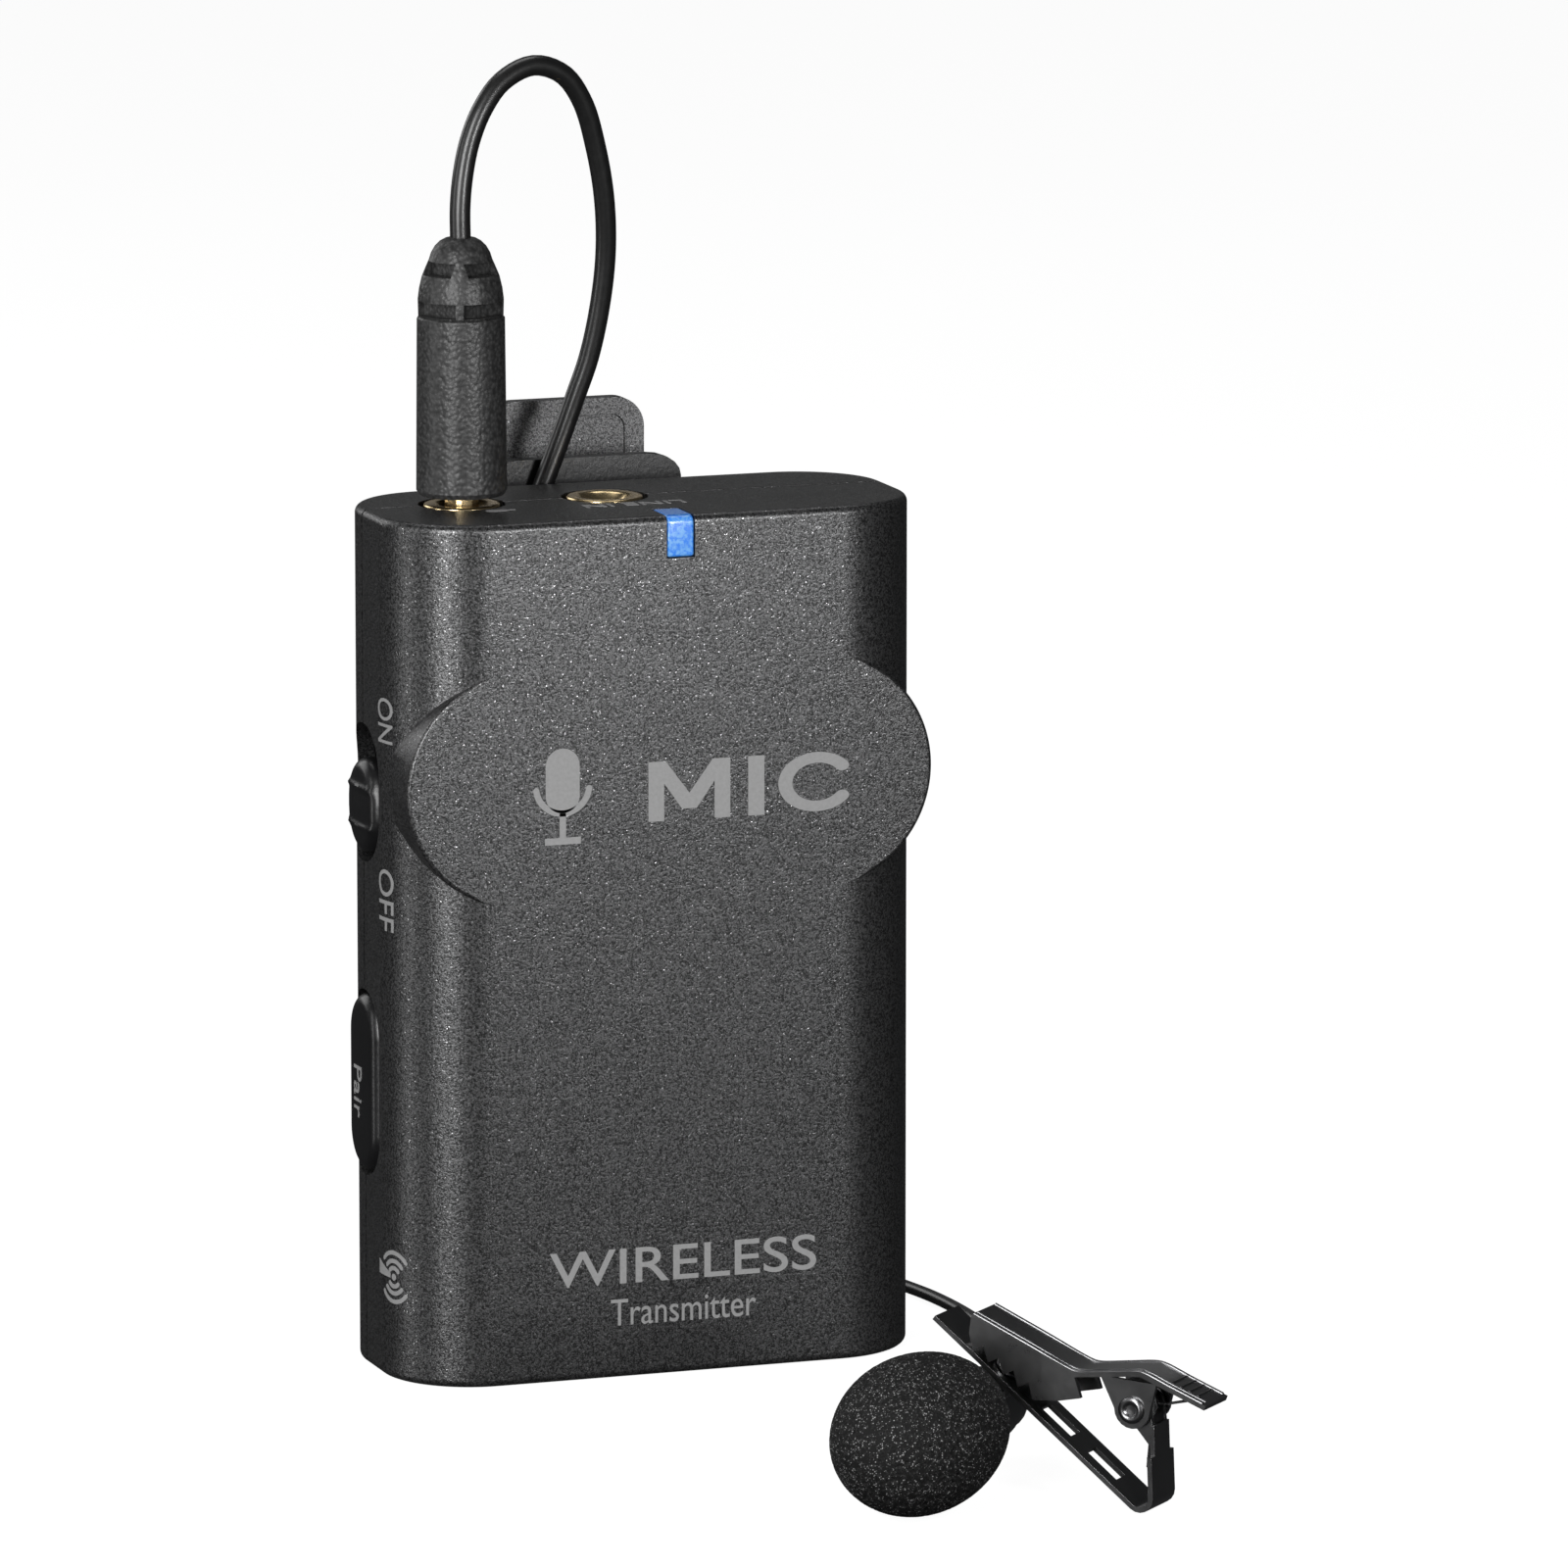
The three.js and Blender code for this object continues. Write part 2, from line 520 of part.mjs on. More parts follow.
function beltLever() {
  const z1 = top + lever.rise;
  const z0 = top - lever.foot;
  const tipY = rear + lever.tipGap;
  const plateShape = roundedRectangle(2 * lever.halfWidth, z1 - z0 - lever.hook, 3.2);
  const middle = (z1 + z0 + lever.hook) / 2;
  const plate = toSolid(alongY(extrusion(plateShape, lever.thickness), leverFace + lever.thickness)
    .translate(0, 0, middle));
  const hookLine = [
    [leverFace, z0 + lever.hook + 6], [leverFace, z0 + lever.hook],
    [leverFace - 0.8, z0 + lever.hook - 3], [tipY + 1.4, z0 + 1.6], [tipY, z0 + 1.9], [tipY, z0 + 0.3],
    [tipY + 1.4, z0], [leverFace + 0.9, z0 + lever.hook - 4.2],
    [leverFace + lever.thickness, z0 + lever.hook - 0.8], [leverFace + lever.thickness, z0 + lever.hook + 6],
  ];
  const hook = toSolid(alongX(extrusion(outline(hookLine), 2 * lever.halfWidth), -lever.halfWidth));
  const inset = lever.panelInset;
  const panelHeight = lever.rise + 4;
  const panel = toSolid(alongY(extrusion(roundedRectangle(2 * (lever.halfWidth - inset), panelHeight, 1.5),
    1 + lever.panelDepth), leverFace + lever.panelDepth).translate(0, 0, z1 - inset + 0.3 - panelHeight / 2));
  const knuckles = [-1, 1].map((side) => {
    const [a, b] = [side * (lever.springRoom / 2), side * lever.halfWidth].sort((p, q) => p - q);
    return join(rod('x', lever.knuckleRadius, a, b, [pin.y, pin.z], 24),
      block(a, b, pin.y, leverFace + 0.2, pin.z - lever.knuckleRadius, pin.z + lever.knuckleRadius));
  });
  return cut(join(cut(plate, panel), hook, ...knuckles),
    rod('x', clipPin.radius + running, -big, big, [pin.y, pin.z], 24));
}

function beltSpring() {
  const wire = 0.6;
  const radius = clipPin.radius + wire / 2 + slip;
  const half = lever.springRoom / 2 - 2;
  const y1 = rear + bracket.standOff + bracket.plate;
  return torsionSpring({
    x0: -half, x1: half, y: pin.y, z: pin.z, radius, wire, turns: 4,
    startArm: [-half, y1 + wire / 2 + slip, pin.z - 9],
    endArm: [half, leverFace - wire / 2 - slip, pin.z - 8],
  });
}

// ---------------------------------------------------------------- plug, cord and coil
const plugBase = top + plug.clearOfPack;
const plugTop = plugBase + plug.barrel + 2 * plug.slot + plug.band + plug.dome;

function plugBarrel() {
  const z = plugBase;
  const r = plug.radius;
  return turned([[plug.contactRadius + fit, z], [r - 0.2, z], [r + 0.15, z + 0.5], [r, z + plug.barrel - 0.2],
    [r - 0.2, z + plug.barrel], [plug.coreRadius + fit, z + plug.barrel],
    [plug.coreRadius + fit, z + 6], [plug.contactRadius + fit, z + 6], [plug.contactRadius + fit, z]], 24)
    .translate([jack.micX, pack.seamY, 0]);
}

// the strain relief: a core, a band and a dome held apart by ribs, leaving two rows of windows
function plugBoot() {
  const z0 = plugBase + plug.barrel + fit;
  const z1 = z0 + plug.slot;
  const z2 = z1 + plug.band;
  const z3 = z2 + plug.slot;
  const r = plug.radius;
  const core = rod('z', plug.coreRadius, z0 - 8, z3 + 0.5, [0, 0], 20);
  const band = turned([[0, z1], [r - 0.05, z1], [r - 0.15, z1 + 1], [plug.bandTop, z2], [0, z2]], 24);
  const dome = turned([[0, z3], [plug.domeBase, z3], [plug.domeBase - 0.2, z3 + plug.dome * 0.3],
    [plug.domeBase - 0.7, z3 + plug.dome * 0.65], [plug.tipRadius, plugTop], [0, plugTop]], 24);
  const ribs = [0, 90].flatMap((turn) => [
    block(-r + 0.3, r - 0.3, -0.9, 0.9, z0, z1 + 0.1).rotate([0, 0, turn + 45]),
    block(-plug.domeBase, plug.domeBase, -0.9, 0.9, z2 - 0.1, z3 + 0.1).rotate([0, 0, turn + 45])]);
  return join(core, band, dome, ...ribs).translate([jack.micX, pack.seamY, 0]);
}

function plugContact() {
  const r = plug.contactRadius;
  const z1 = plugBase + 5;
  const tip = plugBase - plug.contactLength;
  return turned([[0, tip], [0.9, tip + 0.3], [1.55, tip + 1.5], [1.25, tip + 2.6], [r, tip + 3.4],
    [r, z1], [0, z1]], 20).translate([jack.micX, pack.seamY, 0]);
}

// up from the plug, over, down behind the pack, out beside the bracket and along the floor
const loopRoute = [
  [jack.micX, pack.seamY, 115.4], [-17.4, 2.25, 118.4], [-17.0, 2.5, 121.6], [-16.1, 3, 124.9],
  [-14.6, 3.5, 128], [-12.3, 4.2, 130.6], [-8.7, 5.1, 132], [-5.3, 5.9, 130.9], [-2.9, 6.8, 127.9],
  [-1.1, 8, 123.1], [0.2, 9.2, 117.7], [0.8, 10.5, 112.1], [0.6, 11.7, 106.5], [-0.3, 12.7, 100.9],
  [-1.5, 13.3, 97], [-2.8, 13.65, 93.2], [-4.7, 13.8, 88.3], [-6.3, 13.8, 84.4], [-8.3, 13.8, 80.7],
  [-10.7, 13.8, 77.2], [-13.3, 13.8, 73.4], [-15.6, 13.8, 68.6], [-17, 13.8, 62.5], [-17.6, 13.8, 54],
  [-17.7, 13.8, 42], [-17.4, 13.9, 28], [-16.9, 14.4, 17], [-16, 15.6, 9.4], [-14.6, 17.8, 4.2],
  [-12.7, 20.6, 1.8], [-11.6, 22.4, 1.4],
];
// off the top of the coil, down to the floor, round the pack's side and up to the microphone
const tailRoute = [
  [24.3, 36.7, 6.2], [27.6, 32.6, 4], [30.6, 28, 2], [33, 22.6, 1], [34.8, 16.4, 0.7], [36, 9.6, 0.7],
  [36.5, 2.4, 0.7], [36.4, -5, 0.7], [36, -13, 0.7], [35.2, -21, 0.75], [34.1, -29, 1.1],
  [32.3, -37, 2.2], [30.1, -44, 3.9], [27.8, -50, 5.6], [25.1, -55, 7.1], [22.2, -58.7, 7.95],
  [19.95, -61.15, 8.1],
];

function coilSolid() {
  const { meanRadius: m, halfWidth: w, z, height: h } = coil;
  return turned([[m - w + 1, z], [m + w - 1, z], [m + w, z + 1], [m + w, z + h - 1], [m + w - 1, z + h],
    [m - w + 1, z + h], [m - w, z + h - 1], [m - w, z + 1], [m - w + 1, z]], 30).translate([coil.x, coil.y, 0]);
}

// a hook-and-loop band round the coil's section
function coilTieSolid() {
  const gap = slip;
  const half = coil.halfWidth + gap;
  const t = coilTie.thickness;
  const outer = block(coil.meanRadius - half - t, coil.meanRadius + half + t, -coilTie.width / 2,
    coilTie.width / 2, coil.z - gap - t, coil.z + coil.height + gap + t);
  const inner = block(coil.meanRadius - half, coil.meanRadius + half, -coilTie.width, coilTie.width,
    coil.z - gap, coil.z + coil.height + gap);
  return cut(outer, inner).rotate([0, 0, coilTie.angle]).translate([coil.x, coil.y, 0]);
}

// ---------------------------------------------------------------- the tie clip
// a place on the strap: along it from the bend, and below its under face
function onStrap(along, below = 0) {
  const slope = THREE.MathUtils.degToRad(clip.strapSlope);
  const [c, s, r] = [Math.cos(slope), Math.sin(slope), clip.bendRadius];
  return [-r * s - along * c - below * s, r - r * c + along * s - below * c];
}

// moves a solid drawn with x along the strap and z square to it, downwards
function ontoStrap(solid, along, below = 0) {
  const [x, z] = onStrap(along, below);
  return solid.rotate([0, 180 + clip.strapSlope, 0]).translate([x, 0, z]);
}

// a rod square to the strap, through the rivet's place
function strapRod(radius, from, to, segments = 16) {
  return ontoStrap(rod('z', radius, from, to, [0, clip.width / 2], segments), capsule.fromBend);
}

function lowerStrap() {
  const r = clip.bendRadius;
  const line = [onStrap(clip.strapLength), ...arcPoints(0, r, r, 270 - clip.strapSlope, 360, 6), clip.legTop];
  const shape = strip(line, clip.sheet);
  const plate = toSolid(alongY(extrusion(shape, clip.width), clip.width));
  const windows = [5.2, 11.4].map((along) => {
    const box = block(-clip.slotLength / 2, clip.slotLength / 2, clip.width / 2 - clip.slotWidth / 2,
      clip.width / 2 + clip.slotWidth / 2, -2, 2);
    return ontoStrap(box, along);
  });
  const rivetHole = strapRod(clasp.rivetRadius + fit, -2, 2);
  const earGap = clip.sheet + slip;
  const ears = [earGap, clip.width - earGap - clip.sheet].map((y) => {
    const [px, pz] = clip.pivot;
    const disc = rod('y', clip.earRadius - 0.3, y, y + clip.sheet, [px, pz], 20);
    const tongue = toSolid(alongY(extrusion(outline([
      [px - clip.earRadius + 0.3, pz], [clip.legTop[0] - clip.sheet, clip.legTop[1] - 2],
      [clip.legTop[0], clip.legTop[1] - 2], [px + clip.earRadius - 0.3, pz]]), clip.sheet), y + clip.sheet));
    return join(disc, tongue);
  });
  const shoulders = [[-1, earGap], [clip.width - earGap, clip.width + 1]]
    .map(([y0, y1]) => block(-2, 4, y0, y1, clip.legTop[1] - 3, clip.legTop[1] + 2));
  const pinHole = rod('y', clip.pinRadius + running, -1, clip.width + 1, clip.pivot, 16);
  return cut(join(cut(plate, ...windows, rivetHole, ...shoulders), ...ears), pinHole);
}

function upperJaw() {
  const t = clip.sheet;
  const line = [clip.handleTip, clip.jawFlat, clip.jawKnee, clip.jawTip];
  const cover = toSolid(alongY(extrusion(strip(line, -t), clip.jawWidth), clip.jawWidth));
  const [tip, knee] = [clip.jawTip, clip.jawKnee];
  const length = Math.hypot(knee[0] - tip[0], knee[1] - tip[1]);
  const slope = Math.atan2(knee[1] - tip[1], knee[0] - tip[0]);
  const teeth = [];
  const count = Math.floor((length - 1.2) / clip.toothPitch);
  for (let i = 0; i < count; i += 1) {
    const x = 0.4 + i * clip.toothPitch;
    const depth = clip.jawSide * (0.57 + (0.6 * i) / count);
    teeth.push([x, -depth + clip.toothDepth * 0.2], [x + clip.toothPitch * 0.55, -depth - clip.toothDepth]);
  }
  const side = outline([[0, 0], ...teeth, [length - 0.6, -clip.jawSide], [length + 1.4, -1.6], [length, 0]]);
  const cheeks = [0, clip.jawWidth - t].map((y) => toSolid(alongY(extrusion(side, t)
    .rotateZ(slope).translate(tip[0], tip[1], 0), y + t)));
  const [px, pz] = clip.pivot;
  const ears = [0, clip.jawWidth - t].map((y) => join(
    rod('y', clip.earRadius, y, y + t, clip.pivot, 20),
    toSolid(alongY(extrusion(outline([[px - clip.earRadius, pz], [px + clip.earRadius, pz],
      [px + 2.6, clip.jawFlat[1] - 0.6], [px - 3.4, clip.jawFlat[1] - 0.3]]), t), y + t))));
  return cut(join(cover, ...cheeks, ...ears),
    rod('y', clip.pinRadius + running, -1, clip.width + 1, clip.pivot, 16));
}

function clipHingePin() {
  const heads = [-clip.pinHead, clip.jawWidth].map((y) => rod('y', clip.pinHeadRadius, y, y + clip.pinHead,
    clip.pivot, 20));
  return join(rod('y', clip.pinRadius, -clip.pinHead, clip.jawWidth + clip.pinHead, clip.pivot, 20), ...heads);
}

function clipSpring() {
  const wire = 0.32;
  const half = clip.width / 2 - clip.sheet * 2 - slip * 2 - wire;
  const spring = torsionSpring({
    x0: -half, x1: half, y: clip.pivot[0], z: clip.pivot[1],
    radius: clip.pinRadius + slip + wire / 2 + 0.1, wire, turns: 3,
    startArm: [-half, clip.legTop[0] - clip.sheet - wire / 2 - slip - 0.2, clip.pivot[1] - 6],
    endArm: [half, clip.pivot[0] + 4.4, clip.pivot[1] + 0.7],
  });
  // wound about +X above, it is turned so that its axis runs across the clip
  return spring.transform([0, 1, 0, 0, 1, 0, 0, 0, 0, 0, 1, 0, 0, clip.width / 2, 0, 1]);
}

// ---------------------------------------------------------------- the microphone
const capsuleAxis = onStrap(capsule.fromBend, capsule.belowStrap);

function capsuleBody() {
  const { radius: r, back, front: f, wall: w, grille } = capsule;
  const mouth = f + grille;
  return turnedAlongY([[0, back], [r - 0.5, back], [r, back - 0.5], [r, mouth + 0.3], [r - w, mouth + 0.3],
    [r - w, mouth + 6], [0, mouth + 6]], capsuleAxis);
}

function micGrille() {
  const { radius: r, front: f, wall: w, grille } = capsule;
  return turnedAlongY([[0, f], [r - 0.8, f], [r, f + 0.5], [r, f + grille], [r - w - 0.3, f + grille],
    [r - w - 0.3, f + grille - 0.8], [0, f + grille - 0.8]], capsuleAxis);
}

function micElement() {
  const { radius: r, front: f, wall: w, grille } = capsule;
  return turnedAlongY([[0, f + grille + 0.6], [r - w - 0.3, f + grille + 0.6], [r - w - 0.3, f + grille + 4],
    [0, f + grille + 4]], capsuleAxis);
}

function cableBoot() {
  const y0 = capsule.back + fit;
  return turnedAlongY([[0, y0], [boot.radius, y0], [boot.radius, y0 + 0.8], [boot.endRadius, y0 + boot.length],
    [0, y0 + boot.length]], capsuleAxis, 20);
}

function foamBall() {
  const bore = capsule.radius + foam.boreGap;
  const profile = [[bore, foam.back], [foam.neckRadius, foam.back]];
  const steps = 7;
  const start = Math.asin(Math.min(foam.neckRadius / foam.radius, 1));
  for (let i = 1; i <= steps; i += 1) {
    const angle = start + ((Math.PI / 2 - start) * i) / steps;
    const reach = (foam.back - foam.fullest) / Math.cos(start);
    profile.push([foam.radius * Math.sin(angle), foam.fullest + reach * Math.cos(angle)]);
  }
  for (let i = 1; i < steps; i += 1) {
    const angle = (Math.PI / 2) * (1 - i / steps);
    profile.push([foam.radius * Math.sin(angle), foam.fullest + (foam.front - foam.fullest) * Math.cos(angle)]);
  }
  const boreEnd = capsule.front - foam.boreGap;
  profile.push([0, foam.front], [0, boreEnd], [bore, boreEnd], [bore, foam.back]);
  return turnedAlongY(profile, capsuleAxis, 26);
}

// a split ring round the capsule with a tab that is riveted under the strap
function micClasp() {
  const [from, to] = [-1, 1].map((side) => (clip.width + side * clasp.width) / 2);
  const inner = capsule.radius + fit;
  const outer = inner + clasp.thickness;
  const ring = cut(rod('y', outer, from, to, capsuleAxis, 32),
    rod('y', inner, from - 1, to + 1, capsuleAxis, 32));
  const under = slip + clasp.thickness;
  const tab = block(-1.9, 1.9, from, to, slip, under);
  const stems = [-1.6, 1.6].map((x) => block(x - 0.3, x + 0.3, from, to, slip,
    capsule.belowStrap - Math.sqrt(inner ** 2 - x ** 2) - 0.1));
  const hanger = ontoStrap(join(tab, ...stems), capsule.fromBend);
  return cut(join(ring, hanger), strapRod(clasp.rivetRadius + fit, -2, under + fit));
}

function claspRivet() {
  const under = slip + clasp.thickness;
  return join(strapRod(clasp.rivetRadius, -clip.sheet - 0.5, under),
    strapRod(clasp.rivetHead, -clip.sheet - 0.5, -clip.sheet - 0.1));
}

// ---------------------------------------------------------------- assembly
addPart('front_shell', 'case', frontShell());
addPart('rear_shell', 'case', rearShell());
addPart('battery_door', 'case', batteryDoor());
screwSites.forEach((site, i) => addPart(`case_screw_${i + 1}`, 'steel', caseScrew(site)));
addPart('light_pipe', 'lens', lightPipeSolid(0));
addPart('power_switch_knob', 'key', powerKnob());
addPart('pair_button', 'key', pairKey());
addPart('power_switch_body', 'steel', boardSwitch(switchZ - 1, keySwitch.powerHeight, 0.4));
addPart('pair_switch_body', 'steel', boardSwitch(pairButton.z, keySwitch.pairHeight, pairButton.travel + 0.1));
addPart('mic_jack_ring', 'gold', jackRing(jack.micX));
addPart('mic_jack_body', 'rubber', jackBody(jack.micX));
addPart('line_jack_ring', 'gold', jackRing(jack.lineX));
addPart('line_jack_body', 'rubber', jackBody(jack.lineX));
addPart('circuit_board', 'board', circuitBoard());
addPart('radio_shield', 'steel', radioShield());
addPart('antenna', 'gold', antenna());
addPart('battery_tray', 'rubber', batteryTray());
addPart('battery_1', 'battery', cell(-1));
addPart('battery_2', 'battery', cell(1));
addPart('battery_spring_1', 'steel', cellSpring(-1));
addPart('battery_spring_2', 'steel', cellSpring(1));
addPart('belt_clip_bracket', 'key', beltBracket());
bracketScrewSites.forEach((site, i) => addPart(`bracket_screw_${i + 1}`, 'steel', bracketScrew(site)));
addPart('belt_clip_pin', 'steel', beltPin());
addPart('belt_clip_lever', 'clipPlate', beltLever());
addPart('belt_clip_spring', 'steel', beltSpring());

addPart('plug_barrel', 'rubber', plugBarrel());
addPart('plug_boot', 'rubber', plugBoot());
addPart('plug_contact', 'gold', plugContact());
addPart('cord_loop', 'rubber', tube(loopRoute, cord.radius, cord.sides, 50));
addPart('cord_coil', 'rubber', coilSolid());
addPart('coil_tie', 'key', coilTieSolid());
addPart('cord_tail', 'rubber', tube(tailRoute, cord.tailRadius, cord.sides, 27));

addPart('clip_lower_strap', 'blackMetal', lowerStrap(), micGroup);
addPart('clip_upper_jaw', 'blackMetal', upperJaw(), micGroup);
addPart('clip_hinge_pin', 'blackMetal', clipHingePin(), micGroup);
addPart('clip_spring', 'steel', clipSpring(), micGroup);
addPart('mic_clasp', 'blackMetal', micClasp(), micGroup);
addPart('clasp_rivet', 'blackMetal', claspRivet(), micGroup);
addPart('mic_capsule_body', 'blackMetal', capsuleBody(), micGroup);
addPart('mic_grille', 'steel', micGrille(), micGroup);
addPart('mic_element', 'gold', micElement(), micGroup);
addPart('mic_cable_boot', 'rubber', cableBoot(), micGroup);
addPart('foam_windscreen', 'foam', foamBall(), micGroup);

export default model;
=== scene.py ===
"""A body-pack wireless microphone with a corded clip-on capsule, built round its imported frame."""

import json
import math

import bmesh
import bpy
import numpy as np
from bpy.props import FloatProperty, FloatVectorProperty, IntProperty, PointerProperty
from bpy.types import Operator, Panel, PropertyGroup
from mathutils import Matrix, Vector, kdtree

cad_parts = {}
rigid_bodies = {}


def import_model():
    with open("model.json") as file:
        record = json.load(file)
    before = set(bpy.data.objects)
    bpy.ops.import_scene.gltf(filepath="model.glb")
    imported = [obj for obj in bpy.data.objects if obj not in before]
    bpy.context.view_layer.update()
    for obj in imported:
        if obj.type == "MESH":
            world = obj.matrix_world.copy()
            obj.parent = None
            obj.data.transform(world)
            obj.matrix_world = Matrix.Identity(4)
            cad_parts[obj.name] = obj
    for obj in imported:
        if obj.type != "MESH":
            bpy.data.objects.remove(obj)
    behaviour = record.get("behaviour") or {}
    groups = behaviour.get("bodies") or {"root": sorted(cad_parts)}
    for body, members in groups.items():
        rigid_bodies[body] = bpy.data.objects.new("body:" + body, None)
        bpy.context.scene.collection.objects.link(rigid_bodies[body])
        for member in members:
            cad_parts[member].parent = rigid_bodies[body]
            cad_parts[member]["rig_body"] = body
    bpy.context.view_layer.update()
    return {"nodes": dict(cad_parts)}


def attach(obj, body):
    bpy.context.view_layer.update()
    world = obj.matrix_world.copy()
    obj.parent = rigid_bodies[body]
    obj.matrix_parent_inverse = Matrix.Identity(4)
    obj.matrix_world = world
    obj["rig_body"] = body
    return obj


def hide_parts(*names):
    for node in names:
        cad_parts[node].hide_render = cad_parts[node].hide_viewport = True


bl_info = {
    "name": "Clip-on Wireless Microphone",
    "version": (1, 0, 0),
    "blender": (4, 5, 0),
    "location": "View3D > Sidebar > Microphone",
    "description": "Builds the looks of a body-pack transmitter and its clip-on microphone",
    "category": "Object",
}

MM = 0.001
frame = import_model()

# --- sizes shared with the frame, in millimetres
PACK = {"half": 28.0, "front": -12.3, "rear": 12.3, "top": 88.2, "front_corner": 9.5, "rear_corner": 9.2,
        "seam": 2.2, "gap": 0.15, "edge": 0.8, "wall": 1.6, "end": 2.0}
BADGE = {"centre": 15.9, "radius": 12.0, "z": 61.2, "depth": 9.2, "rim": 0.4}
JACK = {"mic": -17.4, "line": -2.2, "hole": 4.45, "ring": 3.9, "bore": 1.85}
SWITCH = {"z": 59.3, "slot": 14.2, "slot_width": 10.4, "knob": 9.8, "knob_width": 8.8, "knob_z": 57.9}
PAIR = {"z": 29.4, "length": 18.4, "width": 8.6, "gap": 0.4}
COIL = {"x": 6.0, "y": 31.0, "outer": 15.7, "inner": 9.25, "turns": 3, "layers": 4, "pitch": 2.15, "z": 2.0,
        "start": math.pi, "extra": 0.36}
MIC = {"origin": (23.2, -83.3), "turn": math.radians(-47)}
VIEW_TURN, VIEW_RISE = math.radians(19.5), math.radians(10.3)
PRINT = {"thick": 0.04, "proud": 0.004}

LOOP = [[-17.4, 2.2, 114.6], [-17.4, 2.25, 118.4], [-17, 2.5, 121.6], [-16.1, 3, 124.9], [-14.6, 3.5, 128],
        [-12.3, 4.2, 130.6], [-8.7, 5.1, 132], [-5.3, 5.9, 130.9], [-2.9, 6.8, 127.9], [-1.1, 8, 123.1],
        [0.2, 9.2, 117.7], [0.8, 10.5, 112.1], [0.6, 11.7, 106.5], [-0.3, 12.7, 100.9], [-1.5, 13.3, 97],
        [-2.8, 13.65, 93.2], [-4.7, 13.8, 88.3], [-6.3, 13.8, 84.4], [-8.3, 13.8, 80.7], [-10.7, 13.8, 77.2],
        [-13.3, 13.8, 73.4], [-15.6, 13.8, 68.6], [-17, 13.8, 62.5], [-17.6, 13.8, 54], [-17.7, 13.8, 42],
        [-17.4, 13.9, 28], [-16.9, 14.4, 17], [-16, 15.6, 9.4], [-14.6, 17.8, 4.2], [-12.7, 20.6, 1.8],
        [-11.6, 22.4, 1.4]]
TAIL = [[24.3, 36.7, 6.2], [27.6, 32.6, 4], [30.6, 28, 2], [33, 22.6, 1], [34.8, 16.4, 0.7], [36, 9.6, 0.7],
        [36.5, 2.4, 0.7], [36.4, -5, 0.7], [36, -13, 0.7], [35.2, -21, 0.75], [34.1, -29, 1.1], [32.3, -37, 2.2],
        [30.1, -44, 3.9], [27.8, -50, 5.6], [25.1, -55, 7.1], [22.2, -58.7, 7.95], [19.95, -61.15, 8.1]]
THIN_LEAD = 0.65  # radius of the lead between the coil and the microphone
THINNING = {"left": 100, "over": 16}  # where the lead thins: its length still to run, and the length it takes
FOAM = {"axis": (-18.44, 8.04), "back": -1.3, "front": -22.0, "fullest": -10.8, "radius": 7.8, "neck": 5.0,
        "bore": 3.5, "bore_end": -15.3, "pore": 0.56, "depth": 0.3, "spacing": 0.16, "sides": 300}
KEY = {"face": 28.5, "root": 25.2, "rim": 1.3}
LIGHT_PIPE = {"x": 1.0, "half": 1.5, "low": 83.9, "back": -7.4}
HINGE = {"along": -0.8, "up": 10.15}


# --- sizes and colours that a user would change
class LeadSettings(PropertyGroup):
    diameter: FloatProperty(name="Lead Diameter", description="Outside diameter of the lead", default=2.1 * MM,
                            min=0.0005, unit="LENGTH")
    sides: IntProperty(name="Sides", description="Facets round the lead", default=20, min=6)


class FinishSettings(PropertyGroup):
    paint: FloatVectorProperty(name="Case Paint", description="Mid tone of the pack's paint", subtype="COLOR",
                               size=4, default=(0.086, 0.086, 0.087, 1), min=0, max=1)
    print_ink: FloatVectorProperty(name="Print", description="Ink of the lettering", subtype="COLOR", size=4,
                                   default=(0.27, 0.27, 0.27, 1), min=0, max=1)
    glow: FloatVectorProperty(name="Indicator", description="Colour of the indicator light", subtype="COLOR",
                              size=4, default=(0.02, 0.17, 0.66, 1), min=0, max=1)


class StageSettings(PropertyGroup):
    distance: FloatProperty(name="Camera Distance", description="From the camera to the pack", default=1.2,
                            unit="LENGTH")
    lens: FloatProperty(name="Lens", description="Focal length", default=273.0, unit="CAMERA")


# --- materials
class Reading:
    """A shader socket that Python arithmetic works on: every operator adds its Math node."""

    def __init__(self, finish, socket):
        self.finish, self.socket = finish, socket

    def maths(self, operation, *values):
        return self.finish.node("ShaderNodeMath", {"operation": operation}, *values)

    def __add__(self, other):
        return self.maths("ADD", self, other)

    def __sub__(self, other):
        return self.maths("SUBTRACT", self, other)

    def __rsub__(self, other):
        return self.maths("SUBTRACT", other, self)

    def __mul__(self, other):
        return self.maths("MULTIPLY", self, other)

    def __gt__(self, other):
        return self.maths("GREATER_THAN", self, other)

    __radd__ = __add__
    __rmul__ = __mul__

    def between(self, low, high):
        """0 below low, 1 above high, and a smooth rise from one to the other."""
        return self.finish.node("ShaderNodeMapRange", {"interpolation_type": "SMOOTHSTEP"}, self, low, high)


